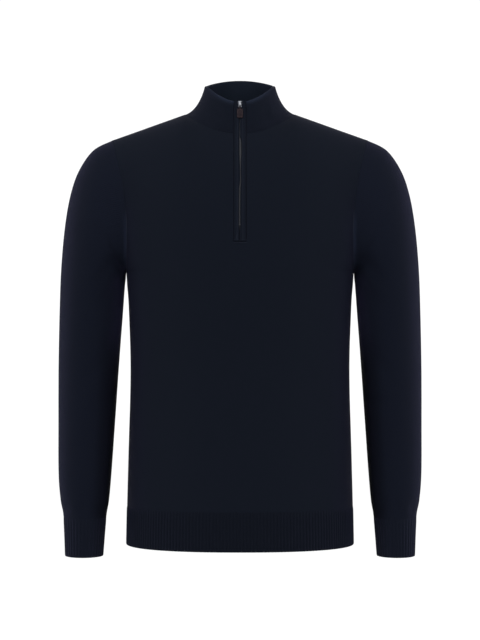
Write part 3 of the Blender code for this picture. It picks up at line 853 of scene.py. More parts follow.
def shell(
    name: str, skin: Skin, thickness: float, inset: Array, finish: Finish,
    relief: Array | float = 0.0, left_out: Array | None = None, behind: Finish | None = None,
    fuzz: Array | None = None,
) -> Object:
    """A closed cloth wall behind a skin.

    Args:
        name: The piece's name.
        skin: The outer surface.
        thickness: The wall's thickness.
        inset: How far the round edges fall away from both faces.
        finish: What it is made of.
        relief: How far the outer face alone stands out.
        left_out: True for each cell of the grid that is an opening.
        behind: What its inner face is made of, where that is something else.
        fuzz: Painted light that lightens the colour, from 0 to 1, and painted shade that darkens
            it, from 0 to -1.

    Returns:
        The piece, with its flat coordinates in the UV map named knit.
    """
    weld, sliver, sharp = 0.00002, 0.00001, radians(60)
    rows, columns = skin.points.shape[:2]
    size = rows * columns
    outer = skin.points + skin.normals * (relief - inset)[:, :, None]
    inner = skin.points - skin.normals * (thickness - inset)[:, :, None]
    faces = []
    for i in range(rows - 1):
        for j in range(columns - 1):
            if left_out is None or not left_out[i, j]:
                a = i * columns + j
                faces.append((a, a + 1, a + 1 + columns, a + columns))
    if skin.outward < 0:
        faces = [face[::-1] for face in faces]
    edges = {(face[k], face[(k + 1) % 4]) for face in faces for k in range(4)}
    inside = [tuple(v + size for v in reversed(face)) for face in faces]
    edges = {(a, b) for a, b in edges if (b, a) not in edges}
    if skin.closed:
        edges = {(a, b) for a, b in edges if a % columns != b % columns}
    rim = sorted((b, a, a + size, b + size) for a, b in edges)
    mesh = bpy.data.meshes.new(name)
    points = np.concatenate((outer.reshape(-1, 3), inner.reshape(-1, 3)))
    mesh.from_pydata(points.tolist(), [], faces + inside + rim)
    flat = np.stack((skin.flat_u, skin.flat_v), axis=2).reshape(-1, 2)
    flat = np.concatenate((flat, flat))[corner_vertices(mesh)]
    mesh.uv_layers.new(name="knit").data.foreach_set("uv", flat.ravel())
    mesh.materials.append(finish.material())
    if behind:
        mesh.materials.append(behind.material())
        picked = [0] * len(faces) + [1] * len(inside) + [0] * len(rim)
        mesh.polygons.foreach_set("material_index", picked)
    if fuzz is not None:
        values = np.concatenate((fuzz.ravel(), fuzz.ravel()))
        mesh.attributes.new("fuzz", "FLOAT", "POINT").data.foreach_set("value", values)
    shape = bmesh.new()
    shape.from_mesh(mesh)
    bmesh.ops.delete(shape, geom=[v for v in shape.verts if not v.link_faces], context="VERTS")
    bmesh.ops.remove_doubles(shape, verts=shape.verts, dist=weld)
    bmesh.ops.dissolve_degenerate(shape, edges=shape.edges, dist=sliver)
    return smoothed(mesh, shape, sharp)


def stepped(
    start: float, stop: float, count: int, rounded: Ends = Ends.NEITHER, span: float = 1.0
) -> list[float]:
    """Even values, with extra ones close to an end where an edge is rounded.

    Args:
        start: The first value.
        stop: The last value.
        count: How many even steps lie between them.
        rounded: The ends that lie on a rounded edge.
        span: Metres for each unit of the values.

    Returns:
        The rising or falling values.
    """
    millimetres = (0.15, 0.5, 1.0, 2.0)
    close = [step * MM / span for step in millimetres]
    way = 1 if stop > start else -1
    values = {start + (stop - start) * k / count for k in range(count + 1)}
    if Ends.START in rounded:
        values |= {start + way * c for c in close}
    if Ends.STOP in rounded:
        values |= {stop - way * c for c in close}
    return sorted(values, reverse=way < 0)


def grid(rows: Sequence[float], columns: Sequence[float], at: Surface) -> Array:
    """The points of a surface at every row and column, as an array."""
    return np.array([[tuple(at(column, row)) for column in columns] for row in rows])


def with_mirror(half: Array) -> Array:
    """A grid from the middle to the left, completed with its mirror image."""
    other = half[:, :0:-1] * (-1, 1, 1)
    return np.concatenate((other, half), axis=1)


def settle(obj: Object, finish: Finish, body: str, *nodes: str) -> None:
    """Fixes a finished piece to its body.

    Args:
        obj: The piece.
        finish: What it is made of; not used.
        body: The body that it moves with.
        nodes: The solids that it stands for.
    """
    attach(obj, body)
    if nodes:
        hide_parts(*nodes)
    area = sum(face.area for face in obj.data.polygons) / 2
    LOG.info("%s: %d faces, %.4f m2, on %s", obj.name, len(obj.data.polygons), area, body)


def rub(obj: Object, finish: KnitFinish, steps: int = 8) -> None:
    """Takes sheen from the faces of a shell where painted shade darkens it, in even steps of shaded
    copies of its knit.

    Args:
        obj: The shell.
        finish: Its knit.
        steps: How many steps lead to the fullest painted shade.
    """
    mesh = obj.data
    fuzz = np.empty(len(mesh.vertices), dtype=np.float32)
    mesh.attributes["fuzz"].data.foreach_get("value", fuzz)
    starts = np.empty(len(mesh.polygons), dtype=np.int32)
    mesh.polygons.foreach_get("loop_start", starts)
    levels = np.rint(-steps * fuzz[corner_vertices(mesh)[starts]])
    pressed = np.clip(levels, 0, steps).astype(np.int32)
    for step in range(1, int(pressed.max()) + 1):
        mesh.materials.append(finish.rubbed(step / steps).material())
    mesh.polygons.foreach_set("material_index", pressed)


# ---- what runs along a path

Path = list[tuple[Vector, Vector]]


class Runner:
    """A Geometry Nodes tree that sets one small piece down at even steps along a path."""

    def __init__(self) -> None:
        """Builds the tree with its named inputs, and the shapes that it sets down."""
        self.tree = bpy.data.node_groups.new("pieces_along_a_path", "GeometryNodeTree")
        face = self.tree.interface
        face.new_socket("Path", in_out="INPUT", socket_type="NodeSocketGeometry")
        for name, kind in (
            ("Piece", "Object"), ("Spacing", "Float"), ("Scale", "Vector"),
            ("Lean", "Float"), ("Finish", "Material"),
        ):
            face.new_socket(name, in_out="INPUT", socket_type="NodeSocket" + kind)
        face.new_socket("Run", in_out="OUTPUT", socket_type="NodeSocketGeometry")
        self._wire()
        self.shapes = SmallShapes()

    def _wire(self) -> None:
        """Joins the nodes: path to curve, even points, turned copies, realized and finished."""
        new = self.tree.nodes.new
        given = new("NodeGroupInput").outputs
        curve = new("GeometryNodeMeshToCurve")
        even = new("GeometryNodeResampleCurve")
        even.mode = "LENGTH"
        tangent = new("GeometryNodeInputTangent")
        out = new("GeometryNodeInputNamedAttribute")
        out.data_type = "FLOAT_VECTOR"
        out.inputs["Name"].default_value = "out"
        axes = new("FunctionNodeAxesToRotation")
        axes.primary_axis, axes.secondary_axis = "X", "Z"
        spin = new("ShaderNodeCombineXYZ")
        euler = new("FunctionNodeEulerToRotation")
        turn = new("FunctionNodeRotateRotation")
        turn.rotation_space = "LOCAL"
        piece = new("GeometryNodeObjectInfo")
        copies = new("GeometryNodeInstanceOnPoints")
        real = new("GeometryNodeRealizeInstances")
        finish = new("GeometryNodeSetMaterial")
        done = new("NodeGroupOutput")
        for a, b in (
            (given["Path"], curve.inputs["Mesh"]),
            (curve.outputs["Curve"], even.inputs["Curve"]),
            (given["Spacing"], even.inputs["Length"]),
            (tangent.outputs[0], axes.inputs["Primary Axis"]),
            (out.outputs[0], axes.inputs["Secondary Axis"]),
            (given["Lean"], spin.inputs["Z"]),
            (spin.outputs[0], euler.inputs[0]),
            (axes.outputs[0], turn.inputs["Rotation"]),
            (euler.outputs[0], turn.inputs["Rotate By"]),
            (given["Piece"], piece.inputs["Object"]),
            (even.outputs["Curve"], copies.inputs["Points"]),
            (piece.outputs["Geometry"], copies.inputs["Instance"]),
            (turn.outputs[0], copies.inputs["Rotation"]),
            (given["Scale"], copies.inputs["Scale"]),
            (copies.outputs[0], real.inputs[0]),
            (real.outputs[0], finish.inputs["Geometry"]),
            (given["Finish"], finish.inputs["Material"]),
            (finish.outputs[0], done.inputs["Run"]),
        ):
            self.tree.links.new(a, b)

    def lay(
        self, name: str, paths: Sequence[Path], piece: Object, spacing: float,
        finish: Finish, scale: Triple, lean: float = 0.0,
    ) -> Object:
        """Lays the copies and turns them into one plain mesh.

        Args:
            name: The run's name.
            paths: Each a list of points with the direction out of the cloth.
            piece: What is copied, made along X with Z outwards.
            spacing: From one copy to the next.
            finish: The copies' finish.
            scale: The copies' size along the path, across it and outwards.
            lean: How far each copy is turned about the outward direction.

        Returns:
            The run as an object at the origin.
        """
        mesh = bpy.data.meshes.new(name)
        points = [point for path in paths for point, _ in path]
        starts = np.cumsum([0] + [len(path) for path in paths])
        edges = [(k, k + 1) for a, b in zip(starts, starts[1:]) for k in range(a, b - 1)]
        mesh.from_pydata(points, edges, [])
        outs = mesh.attributes.new("out", "FLOAT_VECTOR", "POINT")
        outs.data.foreach_set("vector", [c for path in paths for _, out in path for c in out])
        obj = placed(name, mesh)
        modifier = obj.modifiers.new("run", "NODES")
        modifier.node_group = self.tree
        values = {
            "Piece": piece, "Spacing": spacing, "Scale": scale,
            "Lean": lean, "Finish": finish.material(),
        }
        for socket in self.tree.interface.items_tree:
            if socket.name in values:
                modifier[socket.identifier] = values[socket.name]
        graph = bpy.context.evaluated_depsgraph_get()
        made = bpy.data.meshes.new_from_object(obj.evaluated_get(graph), depsgraph=graph)
        obj.modifiers.clear()
        obj.data = made
        made.name = name
        made.shade_smooth()
        return obj


def round_off(
    shape: BMesh, edges: list[bmesh.types.BMEdge], width: float, segments: int
) -> None:
    """Rounds some edges of a shape."""
    settings = {"segments": segments, "affect": "EDGES", "profile": 0.5}
    bmesh.ops.bevel(shape, geom=edges, offset=width, **settings)


class SmallShapes:
    """The small pieces that runs are made of, kept out of the scene's view."""

    def __init__(self) -> None:
        """Makes the shapes."""
        self.stitch = self._shape("stitch_shape", self._pill(around=6, rings=5))
        self.tooth = self._shape("tooth_shape", self._tooth())

    @staticmethod
    def _shape(name: str, shape: BMesh) -> Object:
        """Keeps a shape as an object that is in no collection."""
        mesh = bpy.data.meshes.new(name)
        shape.to_mesh(mesh)
        shape.free()
        return bpy.data.objects.new(name, mesh)

    @staticmethod
    def _pill(around: int, rings: int) -> BMesh:
        """A stitch of unit length, width and height, thickest in the middle."""
        shape = bmesh.new()
        bmesh.ops.create_uvsphere(shape, u_segments=around, v_segments=rings, radius=0.5)
        for vert in shape.verts:
            vert.co = Vector((vert.co.z, vert.co.x, vert.co.y))
        order = Vector((100, 10, 1))  # the sphere's own order differs from run to run
        shape.verts.sort(key=lambda vert: vert.co.dot(order))
        shape.faces.sort(key=lambda face: face.calc_center_median().dot(order))
        return shape

    @staticmethod
    def _tooth() -> BMesh:
        """A zip tooth: a block with a rounded head towards +Y, of unit size."""
        foot, head, rounding = (0.62, 0.9), (0.5, 0.75), 0.12
        shape = bmesh.new()
        bmesh.ops.create_cube(shape, size=1.0)
        for vert in shape.verts:
            length, height = foot if vert.co.y < 0 else head
            vert.co.x *= length
            vert.co.z *= height
        round_off(shape, list(shape.edges), rounding, segments=2)
        bmesh.ops.recalc_face_normals(shape, faces=shape.faces)
        return shape

    def remove(self) -> None:
        """Takes the shapes away once every run is laid."""
        for obj in (self.stitch, self.tooth):
            mesh = obj.data
            bpy.data.objects.remove(obj)
            bpy.data.meshes.remove(mesh)


# ---- the cloth

@dataclass
class Panel:
    """The front or the back, from the hem seam to the shoulder."""

    side: Side
    thickness: float = 0.0020
    columns: int = 40
    low_rows: int = 62
    up_rows: int = 56
    quarter_span: float = 0.24
    height_span: float = 0.30
    seam_radius: float = 0.0004
    welt: float = 0.0005
    welt_reach: float = 0.0020
    slit_radius: float = 0.0011
    slit_columns: int = 3
    plain_columns: int = 2
    slit_blend: float = 0.12
    foot_rows: int = 8
    lean_reach: float = 0.015
    armhole_reach: float = 0.02
    fuzziness: float = 0.60
    fuzzy_reach: float = 0.0050
    fuzzy_height: float = 0.42
    flat: Pair = (0.52, 0.64)
    flat_area: float = 0.27
    creases: Creases = ()

    @property
    def name(self) -> str:
        """The piece's name."""
        return f"{self.side.name.lower()}_panel"

    def surface(self, share: float, height: float) -> Vector:
        """A point of the panel, with the slit's sides drawn straight."""
        point = CUT.point(self.side, share, height)
        if self.side is Side.FRONT and abs(share) < self.slit_blend:
            edge = CUT.point(self.side, CUT.slit_share, height).x
            if abs(share) <= CUT.slit_share:
                point.x = CUT.slit_half * share / CUT.slit_share
            else:
                part = (self.slit_blend - abs(share)) / (self.slit_blend - CUT.slit_share)
                point.x += copysign(part, share) * (CUT.slit_half - edge)
        return point

    def build(self) -> None:
        """Makes the panel."""
        slit, foot, span = CUT.slit_share, CUT.slit_foot, self.height_span
        count = self.slit_columns if self.side is Side.FRONT else self.plain_columns
        inner = [slit * k / count for k in range(count)]
        shares = inner + stepped(slit, 1.0, self.columns, Ends.BOTH, self.quarter_span)
        heights = [-1 + k / self.low_rows for k in range(self.low_rows)]
        heights += stepped(0.0, foot, self.foot_rows, Ends.STOP, span)[:-1]
        heights += stepped(foot, 1.0, self.up_rows - self.foot_rows, Ends.STOP, span)
        skin = Skin(with_mirror(grid(heights, shares, self.surface)), -self.side.value)
        wide = np.array([-s for s in reversed(shares[1:])] + shares)
        tall = np.array(heights)
        self.lean_edges(skin, shares, wide, tall)
        skin.crease(self.creases, self.surface)
        inset, seam = self.edges(skin, wide, tall)
        skin.raised(self.welt * np.exp(-(seam / self.welt_reach) ** 2))
        left_out = None
        if self.side is Side.FRONT:
            middle = np.abs(wide[:-1] + wide[1:]) / 2 < slit
            left_out = (tall[:-1] >= foot - TINY)[:, None] & middle[None, :]
        # Painted light: a lighter band beside the lower part of each armhole seam, strongest near
        # the underarm
        low = np.clip(1 - tall / self.fuzzy_height, 0.0, 1.0) * (tall > 0)
        fuzz = self.fuzziness * fade(seam, self.fuzzy_reach) * (low ** 0.5)[:, None]
        obj = shell(self.name, skin, self.thickness, inset, KNIT, left_out=left_out, fuzz=fuzz)
        settle(obj, KNIT, GARMENT, self.side.name.lower())

    def lean_edges(self, skin: Skin, shares: list[float], wide: Array, tall: Array) -> None:
        """Turns the wall's direction at the neckline and the armholes to meet the neighbours."""
        neck, up = CUT.neck_share, Vector((0, 0, 1))
        top = [CUT.neckline_outward(self.side, s) if s <= neck else up for s in shares]
        neckline = (np.abs(wide) <= neck)[None, :]
        skin.lean(Edge.LAST_ROW, both_sides(top), self.lean_reach, neckline)
        left = [CUT.sleeve.outward(self.side.value * pi * (1 - max(h, 0.0))) for h in tall]
        right = [mirror(v) for v in left]
        armhole = (tall >= 0)[:, None]
        skin.lean(Edge.LAST_COLUMN, left, self.armhole_reach, armhole)
        skin.lean(Edge.FIRST_COLUMN, right, self.armhole_reach, armhole)
        skin.level(self.lean_reach)

    def edges(self, skin: Skin, wide: Array, tall: Array) -> tuple[Array, Array]:
        """The round edges' inset and the distance from the nearest seam."""
        seam = np.minimum(skin.from_sides(), skin.distance(Edge.LAST_ROW))
        inset = edge_inset(seam, self.seam_radius)
        if self.side is Side.FRONT:
            slit = edge_inset(self.from_slit(skin, wide, tall), self.slit_radius)
            inset = np.maximum(inset, slit)
        return inset, seam

    def from_slit(self, skin: Skin, wide: Array, tall: Array) -> Array:
        """How far each point lies from the opening that holds the zip."""
        row = int(np.argmax(tall >= CUT.slit_foot - TINY))
        column = int(np.argmax(wide >= CUT.slit_share - TINY))
        middle = len(wide) // 2
        beside = np.abs(skin.across - skin.across[:, middle:middle + 1])
        beside = np.maximum(beside - beside[:, column:column + 1], 0.0)
        below = np.maximum(skin.up[row:row + 1] - skin.up, 0.0)
        return np.hypot(beside, below)


def toward_body(angles: Array, start: float = 0.40, span: float = 0.55) -> Array:
    """How much each angle round an arm faces the body, where painted shade darkens the knit."""
    return np.clip((-np.cos(angles) - start) / span, 0.0, 1.0)


@dataclass
class RibBand:
    """A ribbed band, knitted on. Its rows run up from the free edge."""

    thickness: float = 0.0018
    height: float = 0.0013
    edge_radius: float = 0.0006
    edge_loss: float = 0.4
    edge_reach: float = 0.003
    run_out: float = 0.006
    squareness: float = 0.7
    wales_a_rib: int = 4
    steps: int = 8
    ribs: int = 49
    knit: KnitFinish = RIB_KNIT
    flat: Pair = (0.48, 0.06)

    def dress(self, name: str, node: str, skin: Skin, ribs: int, fuzz: Array) -> None:
        """Makes the band.

        Args:
            name: The piece's name.
            node: The solid that it stands for.
            skin: Its plain surface, with a whole number of columns for each rib.
            ribs: How many ribs run across the skin.
            fuzz: Its painted light and painted shade, as for any shell.
        """
        skin.normals[:, :, 2] = 0.0
        skin.normals /= np.linalg.norm(skin.normals, axis=2, keepdims=True)
        phase = np.linspace(0.0, ribs, skin.points.shape[1])
        profile = (0.5 - 0.5 * np.cos(tau * phase)) ** self.squareness
        wales = phase * self.wales_a_rib + 0.5
        skin.flat_u = np.tile(wales * self.knit.wale, (skin.points.shape[0], 1))
        top, bottom = skin.distance(Edge.LAST_ROW), skin.distance(Edge.FIRST_ROW)
        relief = self.height * (profile[None, :] - 0.5) * (1 - fade(top, self.run_out))
        relief = relief * (1 - self.edge_loss * fade(bottom, self.edge_reach))
        inset = edge_inset(bottom, self.edge_radius)
        obj = shell(name, skin, self.thickness, inset, self.knit, relief=relief, fuzz=fuzz)
        rub(obj, self.knit)
        settle(obj, self.knit, GARMENT, node)


@dataclass
class Hem(RibBand):
    """The hem under the front or the back, from side seam to side seam."""

    side: Side = Side.FRONT
    rows: int = 14
    fuzziness: float = 0.40
    fuzzy_power: int = 4

    def build(self) -> None:
        """Makes the hem."""
        count = self.ribs * self.steps
        heights = stepped(-CUT.length, CUT.hem_height - CUT.length, self.rows, Ends.START)
        points = []
        for z in heights:
            section = CUT.section_at(z)
            angles = CUT.even_angles(section, self.side, count)
            points.append([tuple(CUT.section_point(section, self.side, a)) for a in angles])
        skin = Skin(with_mirror(np.array(points)), -self.side.value)
        # Painted light: the hem lighter towards its sides, as if catching sheen there
        sideways = np.clip(2 * np.abs(skin.normals[:, :, 0]) - 1, 0.0, 1.0)
        fuzz = self.fuzziness * sideways ** self.fuzzy_power
        word = self.side.name.lower()
        self.dress(f"{word}_hem", f"hem_{word}", skin, 2 * self.ribs, fuzz)


@dataclass
class Cuff(RibBand):
    """The cuff at the end of a sleeve."""

    hand: Hand = Hand.LEFT
    height: float = 0.0009
    knit: KnitFinish = CUFF_KNIT
    ribs: int = 38
    rows: int = 14
    pressed: float = 0.5
    flat: Pair = (0.17, 0.06)

    def build(self) -> None:
        """Makes the cuff."""
        seam = CUT.sleeve.cuff_seam
        angles = np.linspace(-pi, pi, self.ribs * self.steps + 1)
        places = stepped(seam + 1.0, float(seam), self.rows, Ends.START, CUT.hem_height)
        skin = Skin(grid(places, angles, CUT.sleeve.point), 1, closed=True)
        if self.hand is Hand.RIGHT:
            skin = skin.mirrored()
        # Painted shade: the side facing the body darker, in colour and in steps of less sheen
        fuzz = np.tile(-self.pressed * toward_body(angles), (len(places), 1))
        word = self.hand.word
        self.dress(f"{word}_cuff", f"cuff_{word}", skin, self.ribs, fuzz)


@dataclass
class Sleeve:
    """A sleeve, from the armhole to the cuff seam. Creases lie at an angle and a place."""

    hand: Hand
    thickness: float = 0.0020
    columns: int = 96
    shoulder_rings: int = 5
    shoulder_steps: int = 10
    arm_steps: int = 15
    ring_span: float = 0.03
    lean_reach: float = 0.015
    seam_radius: float = 0.0006
    welt: float = 0.0002
    welt_reach: float = 0.0025
    fuzzy_reach: float = 0.0075
    fuzzy_angle: float = -2.35
    fuzzy_span: float = 0.65
    pressed: float = 0.95
    pressed_length: float = 0.22
    pressed_run_out: float = 0.09
    flat: Pair = (0.42, 0.66)
    flat_area: float = 0.20
    creases: Creases = ()

    def build(self) -> None:
        """Makes the sleeve."""
        cut, shoulder = CUT.sleeve, self.shoulder_rings
        count = (cut.cuff_seam - shoulder) * self.arm_steps
        places = [cut.cuff_seam - k / self.arm_steps for k in range(count)]
        count = shoulder * self.shoulder_steps
        places += stepped(float(shoulder), 0.0, count, Ends.STOP, self.ring_span)
        angles = np.linspace(-pi, pi, self.columns + 1)
        skin = Skin(grid(places, angles, cut.point), 1, closed=True)
        skin.lean(Edge.LAST_ROW, [cut.outward(a) for a in angles], self.lean_reach)
        skin.level(self.lean_reach)
        skin.crease(self.creases, cut.point)
        seam = skin.distance(Edge.LAST_ROW)
        skin.raised(self.welt * np.exp(-(seam / self.welt_reach) ** 2))
        # Painted light: a lighter band beside the armhole seam on the front, towards the underarm
        front = np.clip(1 - np.abs(angles - self.fuzzy_angle) / self.fuzzy_span, 0.0, 1.0)
        fuzz = fade(seam, self.fuzzy_reach) * np.sqrt(front)
        # Painted shade: the side facing the body darker over the lower sleeve, in colour and in
        # steps of less sheen
        above = np.maximum(skin.distance(Edge.FIRST_ROW) - self.pressed_length, 0.0)
        fuzz = fuzz - self.pressed * fade(above, self.pressed_run_out) * toward_body(angles)
        if self.hand is Hand.RIGHT:
            skin = skin.mirrored()
        inset = edge_inset(seam, self.seam_radius)
        word = self.hand.word
        obj = shell(f"{word}_sleeve", skin, self.thickness, inset, SLEEVE_KNIT, fuzz=fuzz)
        rub(obj, SLEEVE_KNIT)
        settle(obj, SLEEVE_KNIT, GARMENT, f"sleeve_{word}")


@dataclass
class Collar:
    """The standing collar, knitted double and open at the front. Creases: angle and rise."""

    thickness: float = 0.0036
    half_columns: int = 64
    rows: int = 24
    climb: float = 0.075
    angle_span: float = 0.06
    start: float = 0.0071
    blend_angle: float = 0.35
    lean_reach: float = 0.012
    seam_radius: float = 0.0006
    front_radius: float = 0.0012
    rim_reach: float = 0.0085
    rim_start: float = 0.35
    rim_span: float = 0.5
    flat: Pair = (0.38, 0.065)
    creases: Creases = ()

    @property
    def front_angle(self) -> float:
        """The angle of the collar's front edge."""
        return CUT.neck_angle(Side.FRONT, CUT.slit_share)

    def surface(self, angle: float, rise: float) -> Vector:
        """A point of the collar, with its front edges drawn straight beside the zip."""
        point = CUT.collar.point(angle, rise)
        beyond = (abs(angle) - self.front_angle) / self.blend_angle
        if beyond < 1:
            edge = CUT.collar.point(self.front_angle, rise).x
            point.x += copysign(1 - beyond, angle) * (CUT.slit_half - edge)
        return point

    def build(self) -> None:
        """Makes the collar."""
        front = self.front_angle
        angles = stepped(pi, front, self.half_columns, Ends.STOP, self.angle_span)
        rises = stepped(self.start, 1.0, self.rows, Ends.BOTH, self.climb)
        skin = Skin(with_mirror(grid(rises, angles, self.surface)), -1)
        low = []
        for angle in angles:
            side = Side.BACK if angle > pi / 2 else Side.FRONT
            quarter = pi - angle if side is Side.BACK else angle
            share = CUT.neck_share * (quarter / (pi / 2)) ** (1 / CUT.neck_crowding)
            low.append(CUT.neckline_outward(side, share))
        skin.lean(Edge.FIRST_ROW, both_sides(low), self.lean_reach)
        skin.crease(self.creases, self.surface)
        rim, seam = skin.distance(Edge.LAST_ROW), skin.distance(Edge.FIRST_ROW)
        inset = edge_inset(rim, self.thickness / 2)
        inset = np.maximum(inset, edge_inset(skin.from_sides(), self.front_radius))
        inset = np.maximum(inset, edge_inset(seam, self.seam_radius))
        # Painted highlight: the front of the collar's top edge lighter, fading below the rim and
        # towards the back
        half = np.clip((np.cos(angles) - self.rim_start) / self.rim_span, 0.0, 1.0)
        fuzz = fade(rim, self.rim_reach) * np.concatenate((half[:0:-1], half))
        obj = shell(
            "standing_collar", skin, self.thickness, inset, COLLAR_KNIT,
            behind=COLLAR_INSIDE_PAINTED_LIGHT, fuzz=fuzz,
        )
        settle(obj, COLLAR_KNIT, GARMENT, "collar")


# ---- the zip

class Spot(NamedTuple):
    """A place on the garment with its own directions."""

    origin: Vector
    up: Vector
    out: Vector

    def at(self, x: float, up: float, out: float = 0.0) -> Vector:
        """A point so far to the wearer's left, up and out of the cloth."""
        return self.origin + Vector((x, 0, 0)) + self.up * up + self.out * out


class ZipRow(NamedTuple):
    """How the closed zip lies at a height: the teeth's place and half the gap round its middle."""

    z: float
    aside: float
    half_gap: float
    teeth: float


@dataclass(frozen=True)
class ZipLine:
    """The line of the zip. Runs count the front from the armpit, 0 to 1, then the collar to 2."""

    step: float = 0.015
    halvings: int = 40
    rows: tuple[ZipRow, ...] = (
        ZipRow(-0.1872, -0.0006, 0.0003, -0.0006),
        ZipRow(-0.1792, -0.0006, 0.0013, -0.0006),
        ZipRow(-0.1745, -0.0006, 0.0012, -0.0006),
        ZipRow(-0.1400, -0.0006, 0.0012, -0.0006),
        ZipRow(-0.1243, -0.0003, 0.0012, -0.0003),
        ZipRow(-0.1091, 0.0009, 0.0007, 0.0009),
        ZipRow(-0.0940, 0.0006, 0.0006, 0.0006),
        ZipRow(-0.0787, 0.0005, 0.0012, 0.0005),
        ZipRow(-0.0650, 0.0005, 0.0022, 0.0005),
        ZipRow(-0.0480, 0.0003, 0.0020, 0.0004),
        ZipRow(-0.0410, -0.0004, 0.00035, -0.0004),
        ZipRow(-0.0150, -0.0005, 0.00035, -0.0005),
        ZipRow(0.0060, 0.0, 0.0019, 0.0),
    )

    @lru_cache(maxsize=4096)
    def point(self, run: float) -> Vector:
        """The line itself, in the middle of the front."""
        if run <= 1:
            point = CUT.point(Side.FRONT, CUT.slit_share, run)
        else:
            point = CUT.collar.point(CUT.neck_angle(Side.FRONT, CUT.slit_share), run - 1)
        return Vector((0.0, point.y, point.z))

    def spot(self, run: float) -> Spot:
        """The line's point with the directions up along it and out of the cloth."""
        above, below = self.point(min(run + self.step, 2.0)), self.point(run - self.step)
        up = (above - below).normalized()
        return Spot(self.point(run), up, Vector((0, -up.z, up.y)))

    def run_at(self, z: float) -> float:
        """The run at a height."""
        low, high = 0.0, 2.0
        for _ in range(self.halvings):
            middle = (low + high) / 2
            low, high = (middle, high) if self.point(middle).z < z else (low, middle)
        return low

    def row(self, z: float) -> ZipRow:
        """How the zip lies at a height."""
        heights = [row.z for row in self.rows]
        i = min(max(bisect_left(heights, z) - 1, 0), len(heights) - 2)
        part = ease(min(max((z - heights[i]) / (heights[i + 1] - heights[i]), 0.0), 1.0))
        return ZipRow(*(a + (b - a) * part for a, b in zip(self.rows[i], self.rows[i + 1])))


LINE = ZipLine()


